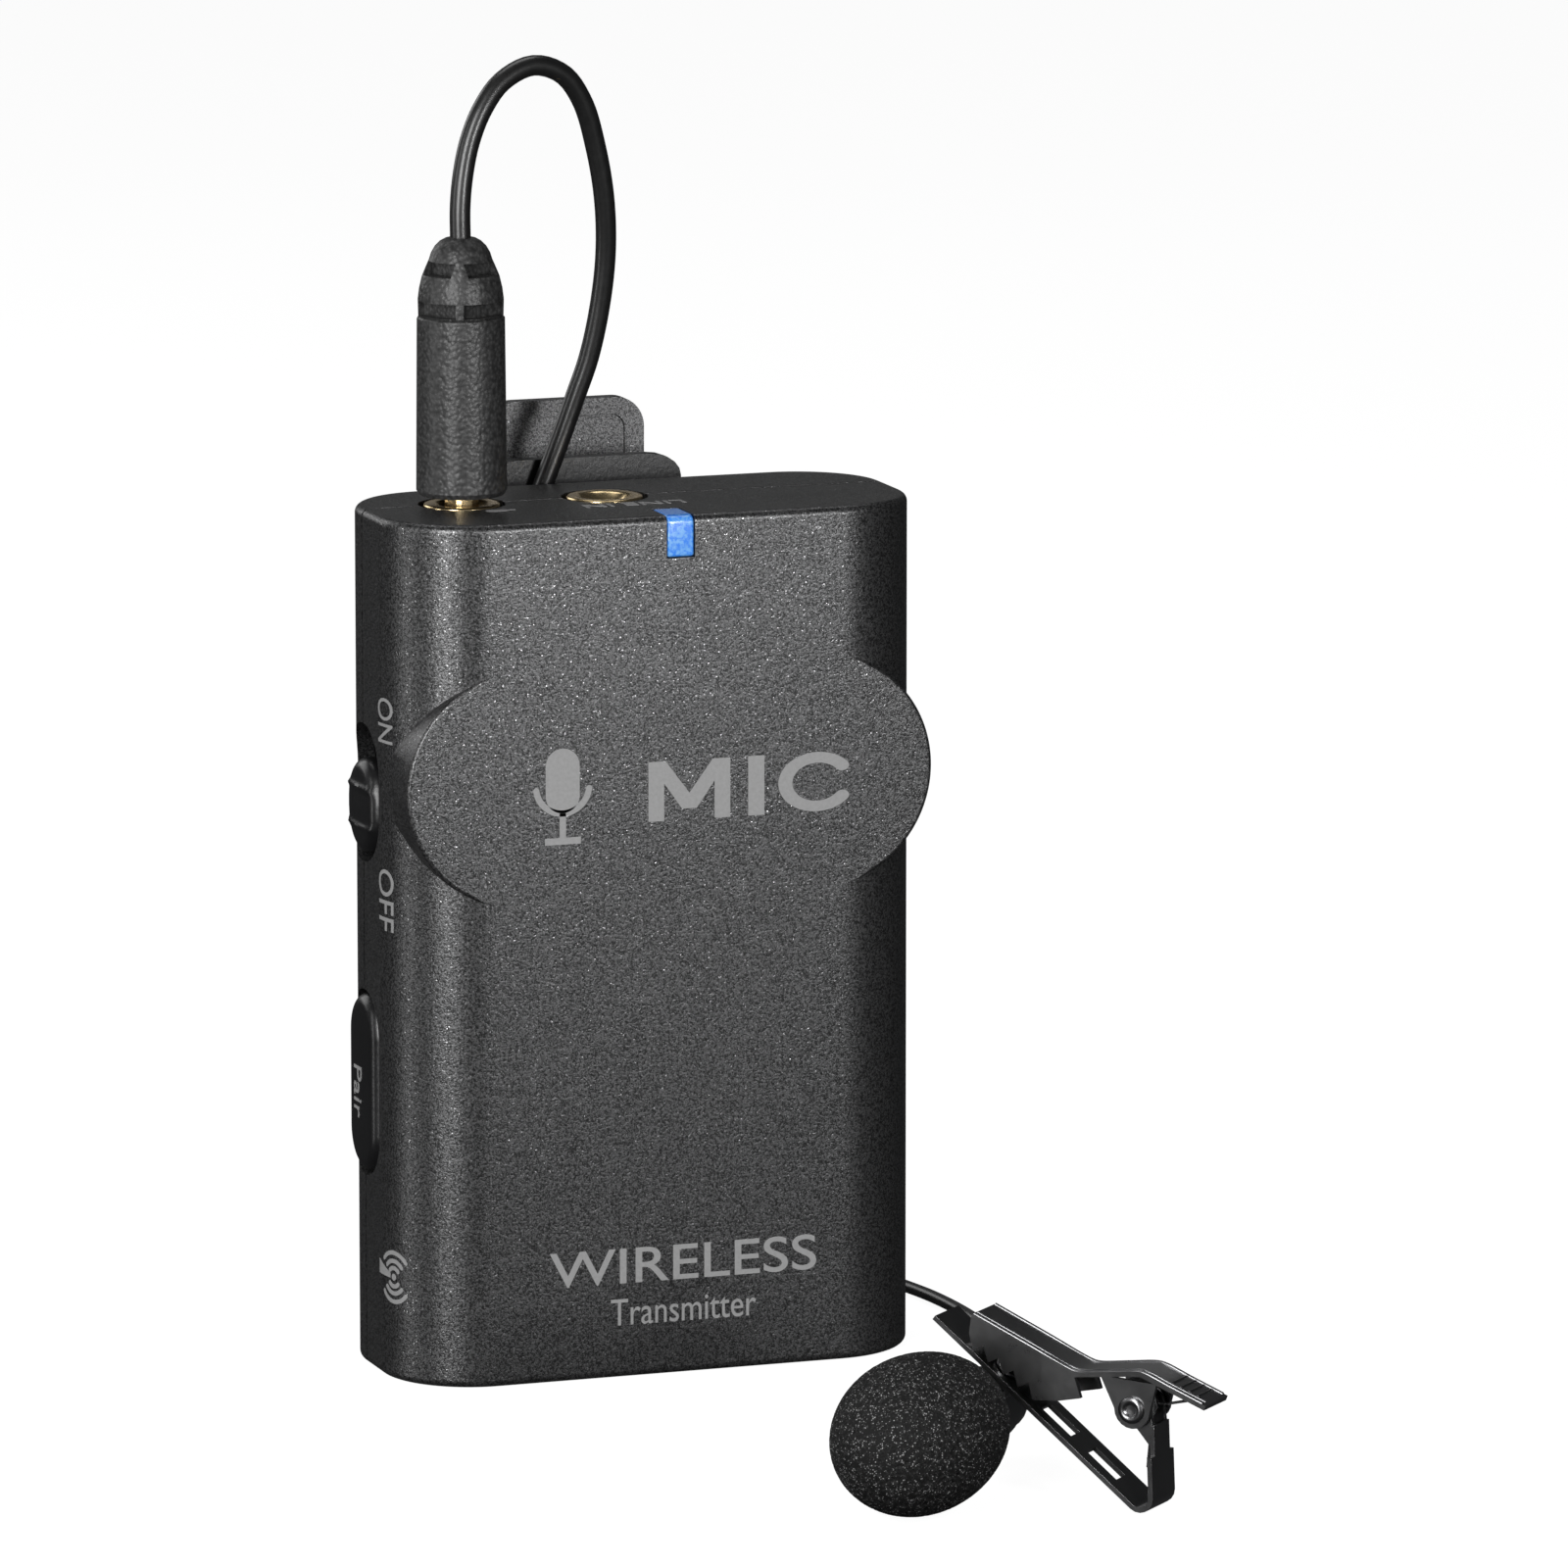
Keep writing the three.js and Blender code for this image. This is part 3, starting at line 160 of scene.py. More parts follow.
class Finish:
    """A material under construction. node() adds any node from its type, its settings and its inputs."""

    def __init__(self, name, roughness=0.5, metallic=0.0, **constants):
        self.material = bpy.data.materials.new(name)
        self.material.use_nodes = True
        self.tree = self.material.node_tree
        self.shader = self.tree.nodes["Principled BSDF"]
        self.place = self.node("ShaderNodeTexCoord", output="Object")
        self.feed(Roughness=roughness, Metallic=metallic)
        for socket, value in constants.items():
            self.shader.inputs[socket.replace("_", " ")].default_value = value

    def node(self, kind, settings=None, *values, inputs=None, output=0):
        made = self.tree.nodes.new(kind)
        for name, value in (settings or {}).items():
            setattr(made, name, value)
        for key, value in [*enumerate(values), *(inputs or {}).items()]:
            self.put(made.inputs[key], value)
        return Reading(self, made.outputs[output])

    def put(self, socket, value):
        if isinstance(value, Reading):
            self.tree.links.new(value.socket, socket)
        else:
            socket.default_value = value

    def feed(self, **sockets):
        for name, value in sockets.items():
            self.put(self.shader.inputs[name.replace("_", " ")], value)
        return self

    def noise(self, scale, detail=2.0, stretch=(1, 1, 1), place=None):
        place = place or self.place
        if stretch != (1, 1, 1):
            place = self.node("ShaderNodeMapping", inputs={"Vector": place, "Scale": stretch})
        return self.node("ShaderNodeTexNoise", inputs={"Vector": place, "Scale": scale, "Detail": detail})

    def cells(self, scale, output="Distance", feature="F1"):
        return self.node("ShaderNodeTexVoronoi", {"feature": feature},
                         inputs={"Vector": self.place, "Scale": scale}, output=output)

    def flakes(self, scale, share):
        """Small round flakes: the share of all cells that shine, each inside its own cell."""
        pick = self.node("ShaderNodeSeparateColor", None, self.cells(scale, "Color"), output="Red")
        return (pick > 1 - share) * (1 - self.cells(scale).between(0.25, 0.5))

    def mix(self, share, low, high):
        low, high = [c if isinstance(c, Reading) else (*c[:3], 1) for c in (low, high)]
        return self.node("ShaderNodeMix", {"data_type": "RGBA"}, inputs={0: share, 6: low, 7: high}, output=2)

    def bump(self, height, depth, strength=1.0):
        return self.feed(Normal=self.node("ShaderNodeBump", inputs={"Strength": strength, "Distance": depth,
                                                                    "Height": height}))


def shade(colour, factor):
    return tuple(c * factor for c in colour[:3])


def painted(name, colour, rough=0.36, sparkle=0.1):
    """Sprayed graphite paint: a dense two-tone grain, metallic flakes of two sizes and an orange-peel skin."""
    f = Finish(name, Specular_IOR_Level=0.5)
    grain, fine = f.noise(3600, 2), f.noise(7000, 1)
    speck, dust = f.flakes(4600, sparkle), f.flakes(7000, 0.24)
    tone = f.mix((0.5 * grain + 0.5 * fine).between(0.4, 0.6), shade(colour, 0.4), shade(colour, 1.5))
    tone = f.mix(0.6 * dust, tone, shade(colour, 3.0))
    f.feed(Base_Color=f.mix(speck, tone, shade(colour, 4.0)), Metallic=0.82 + 0.15 * speck,
           Roughness=rough + 0.2 * (grain - 0.5) - 0.1 * speck)
    return f.bump(grain + 0.6 * fine, 0.00006, 0.5)


def moulded(name, colour, rough=0.42, grain_scale=2600, depth=0.00003, coat=0.0):
    """Moulded plastic: faint colour drift, a spark-eroded grain and rubbed smoother patches."""
    f = Finish(name, Coat_Weight=coat, Coat_Roughness=0.2)
    drift, grain = f.noise(120, 3), f.noise(grain_scale, 2)
    f.feed(Base_Color=f.mix(drift, shade(colour, 0.82), shade(colour, 1.18)),
           Roughness=rough + 0.12 * (grain - 0.5) + 0.1 * (drift - 0.5))
    return f.bump(grain, depth, 0.5)


def leathery(name, colour, rough=0.5):
    """Over-moulded sleeve: a pebbled skin of small raised cells, a painted highlight on each, painted shade
    between.
    """
    f = Finish(name)
    pebble = f.cells(2500, feature="SMOOTH_F1")
    grain = f.noise(3200, 2)
    # painted highlight and shade: the raised cell tops are coloured lighter and the gaps between them darker
    f.feed(Base_Color=f.mix(pebble.between(0.1, 0.7), shade(colour, 1.5), shade(colour, 0.55)),
           Roughness=rough + 0.2 * (grain - 0.5))
    return f.bump(1 - pebble + 0.35 * grain, 0.00009, 0.85)


def sleeved(name, colour):
    """Extruded lead sleeve: satin, with faint rings along its length and a fine skin."""
    f = Finish(name, Specular_IOR_Level=0.6, Coat_Weight=0.45, Coat_Roughness=0.24)
    along = f.node("ShaderNodeUVMap", {"uv_map": "UVMap"})
    rings = f.noise(1, 2, (6, 900, 1), along)
    grain = f.noise(3600, 2)
    f.feed(Base_Color=f.mix(rings, shade(colour, 0.8), shade(colour, 1.25)),
           Roughness=0.34 + 0.1 * rings + 0.08 * (grain - 0.5))
    return f.bump(grain + 0.6 * rings, 0.00002, 0.5)


def metal(name, colour, rough=0.2, brushed=(1, 1, 1), scale=900):
    """Plated metal: a drift of tone, hairlines along one direction and duller spots."""
    f = Finish(name, metallic=1.0)
    hair, drift = f.noise(scale, 3, brushed), f.noise(260, 2)
    f.feed(Base_Color=f.mix(drift, shade(colour, 0.86), shade(colour, 1.08)),
           Roughness=rough + 0.12 * (hair - 0.5) + 0.1 * (drift - 0.5))
    return f.bump(hair, 0.000008, 0.4)


def black_nickel(name):
    """Gloss black plating over pressed steel: dark metal under a clear bright skin."""
    f = Finish(name, metallic=1.0, Coat_Weight=1.0, Coat_Roughness=0.08)
    drift, hair = f.noise(180, 3), f.noise(1400, 2)
    f.feed(Base_Color=f.mix(drift, (0.17, 0.17, 0.172), (0.27, 0.27, 0.272)),
           Roughness=0.3 + 0.12 * (drift - 0.5) + 0.06 * (hair - 0.5))
    return f.bump(hair, 0.00001, 0.35)


def open_cell_foam(name):
    """Open-cell foam: painted shade in pits between thin struts, and here and there a painted glint on a strut's
    end.
    """
    f = Finish(name, Specular_IOR_Level=0.3)
    strut = f.cells(3600, feature="DISTANCE_TO_EDGE")
    coarse = f.noise(2200, 3)
    web = (1 - strut.between(0.02, 0.2)) * coarse.between(0.4, 0.6)
    painted_glint = f.flakes(6500, 0.34) * coarse.between(0.42, 0.6)
    # painted shade: the pits between the struts are coloured near black, the struts a little lighter
    tone = f.mix(web, (0.0015, 0.0015, 0.0015), (0.022, 0.022, 0.022))
    # painted highlight: the glints are bright grey in the base colour
    f.feed(Base_Color=f.mix(painted_glint, tone, (0.42, 0.42, 0.42)), Roughness=0.8 - 0.45 * painted_glint)
    return f.bump(web + 0.6 * coarse, 0.0001, 0.8)


def lit_window(name, colour):
    """Light pipe: blue plastic, paler in milky clouds, glowing faintly as a lit indicator."""
    f = Finish(name, roughness=0.22, Coat_Weight=0.6, Coat_Roughness=0.1)
    cloud = f.noise(2800, 3)
    tone = f.mix(cloud.between(0.4, 0.66), colour, (0.13, 0.34, 0.68))
    f.feed(Base_Color=tone, Emission_Color=tone, Emission_Strength=0.16)
    return f.bump(cloud, 0.00001, 0.3)


def ink(name, colour):
    """Pad-printed ink: slightly uneven cover over the paint's grain."""
    f = Finish(name)
    cover = f.noise(2600, 3)
    f.feed(Base_Color=f.mix(cover, shade(colour, 0.8), shade(colour, 1.15)), Roughness=0.5 + 0.15 * cover)
    return f.bump(cover, 0.00003, 0.4)


def circuit(name):
    """Solder mask over copper tracks, with tinned pads."""
    f = Finish(name, Coat_Weight=0.5, Coat_Roughness=0.15)
    track = f.cells(420, feature="DISTANCE_TO_EDGE").between(0.06, 0.1)
    pad = f.flakes(700, 0.12)
    f.feed(Base_Color=f.mix(pad, f.mix(track, (0.03, 0.2, 0.08), (0.012, 0.09, 0.035)), (0.7, 0.7, 0.72)),
           Metallic=pad, Roughness=0.35 - 0.1 * pad)
    return f.bump(pad + 0.5 * track, 0.00004, 0.6)


def woven(name, colour):
    """Hook-and-loop band: crossed threads with a soft nap."""
    f = Finish(name, Sheen_Weight=0.4, roughness=0.85)
    warp = f.noise(1, 1, (3000, 500, 3000))
    nap = f.noise(2400, 4)
    f.feed(Base_Color=f.mix(warp, shade(colour, 0.7), shade(colour, 1.6)), Roughness=0.8 + 0.15 * (nap - 0.5))
    return f.bump(warp + nap, 0.00008, 0.8)


def pale_floor(name):
    f = Finish(name, roughness=0.85, Specular_IOR_Level=0.2)
    tone = f.noise(2.0, 2)
    f.feed(Base_Color=f.mix(tone, (0.16, 0.16, 0.16), (0.18, 0.18, 0.18)), Emission_Color=(1, 1, 1, 1),
           Emission_Strength=0.95)
    return f


# --- meshes from whole arrays
def lattice(rows, columns):
    """Quads of a grid of rows by columns whose last column joins its first."""
    i, j = np.meshgrid(np.arange(rows - 1), np.arange(columns), indexing="ij")
    right = (j + 1) % columns
    quads = np.stack([i * columns + j, i * columns + right, (i + 1) * columns + right, (i + 1) * columns + j], -1)
    return quads.reshape(-1, 4).tolist()


def stack_of_rings(rings):
    """Closed skin over an (n, m, 3) array: quads between neighbouring rings and a flat face on each end."""
    rows, columns = rings.shape[:2]
    ends = [list(range(columns))[::-1], list(range((rows - 1) * columns, rows * columns))]
    return rings.reshape(-1, 3), lattice(rows, columns) + ends


def new_mesh(name, vertices, faces, outward=True):
    """A mesh from points in millimetres, with its normals turned outwards."""
    mesh = bpy.data.meshes.new(name)
    mesh.from_pydata((np.asarray(vertices) * MM).tolist(), [], faces)
    if outward:
        recalculate(mesh)
    return mesh


def recalculate(mesh):
    b = bmesh.new()
    b.from_mesh(mesh)
    bmesh.ops.recalc_face_normals(b, faces=b.faces)
    b.to_mesh(mesh)
    b.free()


def add_object(data, name):
    made = bpy.data.objects.new(name, data)
    bpy.context.scene.collection.objects.link(made)
    return made


def new_piece(name, vertices, faces):
    """An object with a mesh of its own, from points in millimetres."""
    return add_object(new_mesh(name, vertices, faces), name)


def wrap(name, rings):
    """A piece that is one closed skin over rings of points in millimetres."""
    return new_piece(name, *stack_of_rings(rings))


def soften(mesh, angle):
    mesh.polygons.foreach_set("use_smooth", np.ones(len(mesh.polygons), bool))
    mesh.set_sharp_from_angle(angle=math.radians(angle))


def evaluated_mesh(made):
    return bpy.data.meshes.new_from_object(made.evaluated_get(bpy.context.evaluated_depsgraph_get()))


def apply_modifiers(made):
    """Gives the object its mesh as its modifiers leave it, and takes them away."""
    mesh = evaluated_mesh(made)
    made.modifiers.clear()
    made.data = mesh
    return made


def break_edges(made, width, segments, angle):
    """Rounds the edges sharper than an angle in degrees, by a width in millimetres."""
    bevel = made.modifiers.new("edges", "BEVEL")
    bevel.width, bevel.segments, bevel.limit_method = width * MM, segments, "ANGLE"
    bevel.angle_limit, bevel.use_clamp_overlap = math.radians(angle), True
    apply_modifiers(made)


def carve(made, cutters, operation="DIFFERENCE"):
    for cutter in cutters:
        step = made.modifiers.new("cut", "BOOLEAN")
        step.operation, step.solver, step.object = operation, "EXACT", cutter
    apply_modifiers(made)
    for cutter in cutters:
        bpy.data.objects.remove(cutter)
    return made


def settle(made, finish, slot, body, *nodes, angle=None, flat_faces=False):
    """Gives a piece its finish and body, and hides the frame nodes that it stands for. Faces that meet at
    less than the angle in degrees are shaded smooth."""
    if angle:
        soften(made.data, angle)
    made.data.materials.clear()
    made.data.materials.append(FINISH[finish].material)
    if flat_faces:
        normals = made.modifiers.new("flat faces", "WEIGHTED_NORMAL")
        normals.keep_sharp = True
        apply_modifiers(made)
    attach(made, body)
    if nodes:
        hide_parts(*nodes)
    return made


def finished_copy(node, finish, slot, edge=0.12, angle=32.0, segments=2):
    """A frame node's own shape with its triangles merged, its edges broken and its round faces smooth."""
    source = frame["nodes"][node]
    mesh = bpy.data.meshes.new(node + "_shape")
    b = bmesh.new()
    b.from_mesh(source.data)
    bmesh.ops.remove_doubles(b, verts=b.verts, dist=2e-6)
    bmesh.ops.dissolve_limit(b, angle_limit=math.radians(0.5), verts=b.verts, edges=b.edges)
    b.to_mesh(mesh)
    b.free()
    made = add_object(mesh, node + "_finish")
    if edge:
        break_edges(made, edge, segments, angle)
    return settle(made, finish, slot, source["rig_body"], node, flat_faces=True, angle=angle)


def circle(count):
    turn = np.arange(count) * (2 * math.pi) / count
    return np.cos(turn), np.sin(turn)


def lathe(profile, count=64):
    """Rings of a profile of (radius, height) turned about Z."""
    profile = np.asarray(profile, float)
    c, s = circle(count)
    return np.stack([profile[:, :1] * c, profile[:, :1] * s, np.repeat(profile[:, 1:], count, 1)], -1)


def rounded_profile(points, radius, steps=5):
    """A profile whose inner corners are replaced by arcs: quadratic curves from radius before to radius after."""
    points = np.asarray(points, float)
    before = points[1:-1] + trimmed(points[:-2] - points[1:-1], radius)
    after = points[1:-1] + trimmed(points[2:] - points[1:-1], radius)
    t = np.linspace(0, 1, steps)[:, None, None]
    arcs = (1 - t) ** 2 * before + 2 * t * (1 - t) * points[1:-1] + t**2 * after
    return np.vstack([points[:1], arcs.transpose(1, 0, 2).reshape(-1, 2), points[-1:]])


def trimmed(steps, radius):
    lengths = np.linalg.norm(steps, axis=1, keepdims=True)
    return steps / lengths * np.minimum(radius, 0.5 * lengths)


# --- the lead
def coil_path():
    """Layers of a flat spiral: the turn angle falls evenly, the radius goes in and out between two limits
    and the height climbs one layer each time the radius turns back."""
    turns = COIL["turns"] * COIL["layers"] + COIL["extra"]
    t = np.linspace(0, turns, int(turns * 40) + 1)
    phase = t / COIL["turns"]
    swing = np.abs((phase + 1) % 2 - 1)
    swing = np.where(phase > COIL["layers"], 0, swing)
    radius = COIL["outer"] + (COIL["inner"] - COIL["outer"]) * swing
    layer = np.floor(phase)
    climb = np.clip((phase - layer) * COIL["turns"] / 0.3, 0, 1)
    climb = climb**2 * (3 - 2 * climb)
    level = np.where(layer > 0, layer - 1 + climb, 0)
    level = np.minimum(level, COIL["layers"] - 1)
    angle = COIL["start"] - 2 * math.pi * t
    return np.stack([COIL["x"] + radius * np.cos(angle), COIL["y"] + radius * np.sin(angle),
                     COIL["z"] + COIL["pitch"] * level], -1)


def smooth_through(points, spacing):
    """A Catmull-Rom curve through the points, with chord-length knots, resampled at an even spacing."""
    p = np.asarray(points, float)
    p = np.vstack([2 * p[0] - p[1], p, 2 * p[-1] - p[-2]])
    knot = np.concatenate([[0], np.cumsum(np.sqrt(np.linalg.norm(np.diff(p, axis=0), axis=1)))])
    t = np.linspace(0, 1, 24, endpoint=False)[None, :, None]
    k = [knot[i:len(knot) - 3 + i, None, None] for i in range(4)]
    q = [p[i:len(p) - 3 + i, None, :] for i in range(4)]
    u = k[1] + (k[2] - k[1]) * t
    a = [((k[i + 1] - u) * q[i] + (u - k[i]) * q[i + 1]) / (k[i + 1] - k[i]) for i in range(3)]
    b = [((k[i + 2] - u) * a[i] + (u - k[i]) * a[i + 1]) / (k[i + 2] - k[i]) for i in range(2)]
    pieces = ((k[2] - u) * b[0] + (u - k[1]) * b[1]) / (k[2] - k[1])
    line = np.vstack([pieces.reshape(-1, 3), p[-2:-1]])
    along = np.concatenate([[0], np.cumsum(np.linalg.norm(np.diff(line, axis=0), axis=1))])
    even = np.linspace(0, along[-1], int(along[-1] / spacing) + 1)
    return np.stack([np.interp(even, along, line[:, i]) for i in range(3)], -1)


def carried_frames(path):
    """Two directions square to the path at each of its points, turned as little as possible on the way."""
    ahead = np.gradient(path, axis=0)
    ahead /= np.linalg.norm(ahead, axis=1, keepdims=True)
    side = np.zeros_like(ahead)
    side[0] = np.cross(ahead[0], [0.0, 1.0, 0.0])
    side[0] /= np.linalg.norm(side[0])
    for i in range(1, len(path)):
        kept = side[i - 1] - ahead[i] * (side[i - 1] @ ahead[i])
        side[i] = kept / np.linalg.norm(kept)
    return side, np.cross(ahead, side)


def tube_along(path, radius, sides):
    """A round profile carried along a path: centre + radius x (cos v side + sin v over)."""
    side, over = carried_frames(path)
    c, s = circle(sides)
    radius = np.broadcast_to(radius, len(path))[:, None, None]
    return path[:, None, :] + radius * (c[None, :, None] * side[:, None, :] + s[None, :, None] * over[:, None, :])


def add_length_map(mesh, rows, columns, length):
    """A UV map whose U goes round the tube and whose V is the distance along it, in metres."""
    uv = mesh.uv_layers.new(name="UVMap")
    i, j = np.meshgrid(np.arange(rows - 1), np.arange(columns), indexing="ij")
    u = np.stack([j, j + 1, j + 1, j], -1) / columns
    v = np.stack([i, i, i + 1, i + 1], -1) * length / (rows - 1)
    values = np.zeros((len(mesh.loops), 2), np.float32)
    values[:u.size, 0], values[:v.size, 1] = u.reshape(-1), v.reshape(-1)
    uv.data.foreach_set("uv", values.reshape(-1))


class MIC_OT_lead(Operator):
    """Build the lead in one run: from the plug over the loop, through the coil and on to the microphone"""

    bl_idname = "mic.lead"
    bl_label = "Lead"

    def execute(self, context):
        sizes = context.scene.mic_lead
        path = smooth_through(np.vstack([LOOP, coil_path(), TAIL]), 0.8)
        steps = np.linalg.norm(np.diff(path, axis=0), axis=1)
        length = steps.sum() * MM
        left = steps.sum() - np.concatenate([[0], np.cumsum(steps)])
        thick, thin = sizes.diameter / MM / 2, THIN_LEAD
        share = np.clip((left - THINNING["left"]) / THINNING["over"], 0, 1)
        rings = tube_along(path, thin + (thick - thin) * share**2 * (3 - 2 * share), sizes.sides)
        vertices, faces = stack_of_rings(rings)
        mesh = new_mesh("lead", vertices, faces, outward=False)
        add_length_map(mesh, *rings.shape[:2], length)
        mesh.polygons.foreach_set("use_smooth", np.ones(len(mesh.polygons), bool))
        made = settle(add_object(mesh, "lead"), "lead", "lead", "root", "cord_loop", "cord_coil",
                      "cord_tail")
        return {"FINISHED"}


# --- the pack
def pack_outline(inset, back, forwards):
    """Half of the pack's plan: from the seam along one side, round both corners and back to the seam.
    inset moves it inwards, back is the seam's Y and forwards is -1 for the front half or 1 for the rear."""
    corner = PACK["front_corner"] if forwards < 0 else PACK["rear_corner"]
    face = PACK["front"] if forwards < 0 else PACK["rear"]
    x, r = PACK["half"] - inset, max(corner - inset, 0.05)
    y = face - forwards * inset
    turn = np.linspace(0, math.pi / 2, 26)
    arc = np.stack([x - r + r * np.cos(turn), y - forwards * (r - r * np.sin(turn))], -1)
    side = np.linspace([x, back], arc[0], 5)[:-1]
    flat = np.linspace(arc[-1], arc[-1] * [-1, 1], 22)[1:-1]
    half = np.vstack([side, arc])
    return np.vstack([half, flat, half[::-1] * [-1, 1]])


def pack_half(name, forwards, inset=0.0, ends=(0.0, None), edge=None):
    """Rings of the half plan up the pack: at each end the plan draws in on a quarter circle."""
    back = PACK["seam"] + forwards * PACK["gap"] if not inset else PACK["seam"] - forwards * 3
    low, high = ends[0], PACK["top"] if ends[1] is None else ends[1]
    edge = PACK["edge"] if edge is None else edge
    turn = np.linspace(0, math.pi / 2, 7) if edge else np.array([math.pi / 2])
    draw, rise = edge * (1 - np.sin(turn)), edge * (1 - np.cos(turn))
    levels = np.concatenate([low + rise, high - rise[::-1]])
    insets = np.concatenate([draw, draw[::-1]]) + inset
    plans = [pack_outline(i, back, forwards) for i in insets]
    rings = np.stack([np.column_stack([plan, np.full(len(plan), z)]) for plan, z in zip(plans, levels)])
    return wrap(name, rings)


def prism(outline, axis, low, high, name="cutter"):
    """An outline of (u, v) pushed along an axis: x, y or z."""
    outline = np.asarray(outline, float)
    order = {"x": (2, 0, 1), "y": (0, 2, 1), "z": (0, 1, 2)}[axis]
    rings = np.stack([np.column_stack([outline, np.full(len(outline), h)])[:, order] for h in (low, high)])
    return wrap(name, rings)


def stadium(length, width, centre, steps=24):
    """Outline (across, along) of a slot: two half circles joined by straight sides."""
    r = width / 2
    turn = np.linspace(0, math.pi, steps)
    top = np.stack([r * np.cos(turn), r * np.sin(turn) + length / 2 - r], -1)
    return np.vstack([top, -top]) + centre


def round_outline(radius, centre, count=72):
    c, s = circle(count)
    return np.stack([c, s], -1) * radius + centre


def box_outline(x0, x1, y0, y1):
    return np.array([[x0, y0], [x1, y0], [x1, y1], [x0, y1]])


def shared_openings():
    """Cutters of what both halves leave open: the inside, the key slots and the jack holes."""
    seam = PACK["seam"]
    return [
        prism(stadium(SWITCH["slot"], SWITCH["slot_width"], (seam, SWITCH["z"])), "x", -29, -23.3),
        prism(stadium(PAIR["length"] + 2 * PAIR["gap"], PAIR["width"] + 2 * PAIR["gap"], (seam, PAIR["z"])), "x",
              -29, -23.3),
        *[prism(round_outline(JACK["hole"], (JACK[which], seam)), "z", 85, 89) for which in ("mic", "line")],
    ]


def badge_half(side):
    """One round end of the raised badge: a disc whose rim is rounded where it stands clear of the pack.
    The rim's radius follows how deep the pack's corner has fallen away at that point."""
    c, s = circle(160)
    x = side * BADGE["centre"] + BADGE["radius"] * c
    over = np.clip(np.abs(x) - (PACK["half"] - PACK["front_corner"]), 0, PACK["front_corner"])
    depth = PACK["front_corner"] - np.sqrt(PACK["front_corner"] ** 2 - over**2)
    rim = np.clip(depth, 0.004, BADGE["rim"])
    turn = np.linspace(0, math.pi / 2, 7)[:, None]
    radius = BADGE["radius"] - rim * (1 - np.cos(turn))
    y = PACK["front"] - 0.004 + rim * (1 - np.sin(turn))
    radius = np.vstack([np.full_like(radius[:1], BADGE["radius"]), radius])
    y = np.vstack([np.full_like(y[:1], PACK["front"] + BADGE["depth"]), y])
    rings = np.stack([side * BADGE["centre"] + radius * c, y, BADGE["z"] + radius * s], -1)
    return wrap("badge", rings)


class MIC_OT_case(Operator):
    """Build the two halves of the pack, with the badge, the slots, the jack holes and the doorway"""

    bl_idname = "mic.case"
    bl_label = "Case"

    def execute(self, context):
        wall, end = PACK["wall"], PACK["end"]
        x, half = LIGHT_PIPE["x"], LIGHT_PIPE["half"]
        window = prism(box_outline(x - half, x + half, LIGHT_PIPE["low"], 90), "y", -14, LIGHT_PIPE["back"])
        front = pack_half("front_case", -1)
        carve(front, [badge_half(-1), badge_half(1)], "UNION")
        inside = pack_half("inside", -1, wall, (end, PACK["top"] - end), 0)
        carve(front, [inside, *shared_openings(), window])
        settle(front, "case", "case", "root", "front_shell", flat_faces=True, angle=25)
        rear = pack_half("rear_case", 1)
        inside = pack_half("inside", 1, wall, (end, PACK["top"] - end), 0)
        doorway = prism(box_outline(-15, 15, -1, 56.3), "y", 10.2, 13.4)
        screws = [prism(round_outline(1.8, (x, z), 32), "y", 11, 13.4) for x in (-19, 19) for z in (7, 44)]
        carve(rear, [inside, *shared_openings(), doorway, *screws])
        settle(rear, "case", "case", "root", "rear_shell", flat_faces=True, angle=25)
        finished_copy("battery_door", "case", "case", 0.2)
        finished_copy("light_pipe", "light", "light", 0.25, segments=3)
        for screw in range(1, 5):
            finished_copy(f"case_screw_{screw}", "steel", "steel", 0.15)
        return {"FINISHED"}


def key_cap(name, length, width, z, body, node, ribs=()):
    """A key: a slot outline that grows from its root outwards, rounded over its rim into a crowned face.
    Each rib raises the face where the height is near its own, by 0.22 x exp(-(away / 0.28)^2)."""
    face, root, rim = KEY["face"], KEY["root"], KEY["rim"]
    turn = np.linspace(0, math.pi / 2, 9)
    inset = np.concatenate([[0], rim * (1 - np.cos(turn)), rim + np.linspace(0.12, 0.94, 12) * (width / 2 - rim)])
    rise = np.concatenate([[0], (face - root) - rim * (1 - np.sin(turn)),
                           (face - root) + 0.1 * np.linspace(0.1, 1, 12) ** 0.6])
    outlines = np.stack([stadium(length - 2 * i, width - 2 * i, (PACK["seam"], z), 36) for i in inset])
    height = np.repeat(rise[:, None], outlines.shape[1], 1)
    for rib in ribs:
        away = np.abs(outlines[..., 1] - rib)
        height = np.where(height > (face - root) - rim * 0.3, height + 0.22 * np.exp(-(away / 0.28) ** 2), height)
    rings = np.stack([-(height + root), outlines[..., 0], outlines[..., 1]], -1)
    made = wrap(name, rings)
    return settle(made, "keys", "keys", body, node, flat_faces=True, angle=40)


def read_points(mesh):
    points = np.empty(len(mesh.vertices) * 3, np.float32)
    mesh.vertices.foreach_get("co", points)
    return points.reshape(-1, 3).astype(float)


def write_points(mesh, points):
    mesh.vertices.foreach_set("co", points.astype(np.float32).reshape(-1))


def lettering(text, height, width, weight=0.0):
    """Text as a thin solid: (right, up, out) of its points in millimetres, centred on its cap height."""
    curve = bpy.data.curves.new(text, "FONT")
    curve.body, curve.resolution_u, curve.offset, curve.extrude = text, 6, weight, 0.05
    drawn = add_object(curve, text)
    mesh = evaluated_mesh(drawn)
    bpy.data.objects.remove(drawn)
    points = read_points(mesh)
    low, high = points.min(0), points.max(0)
    points -= (low + high) / 2
    return points * [width, height, PRINT["thick"]] / (high - low), mesh


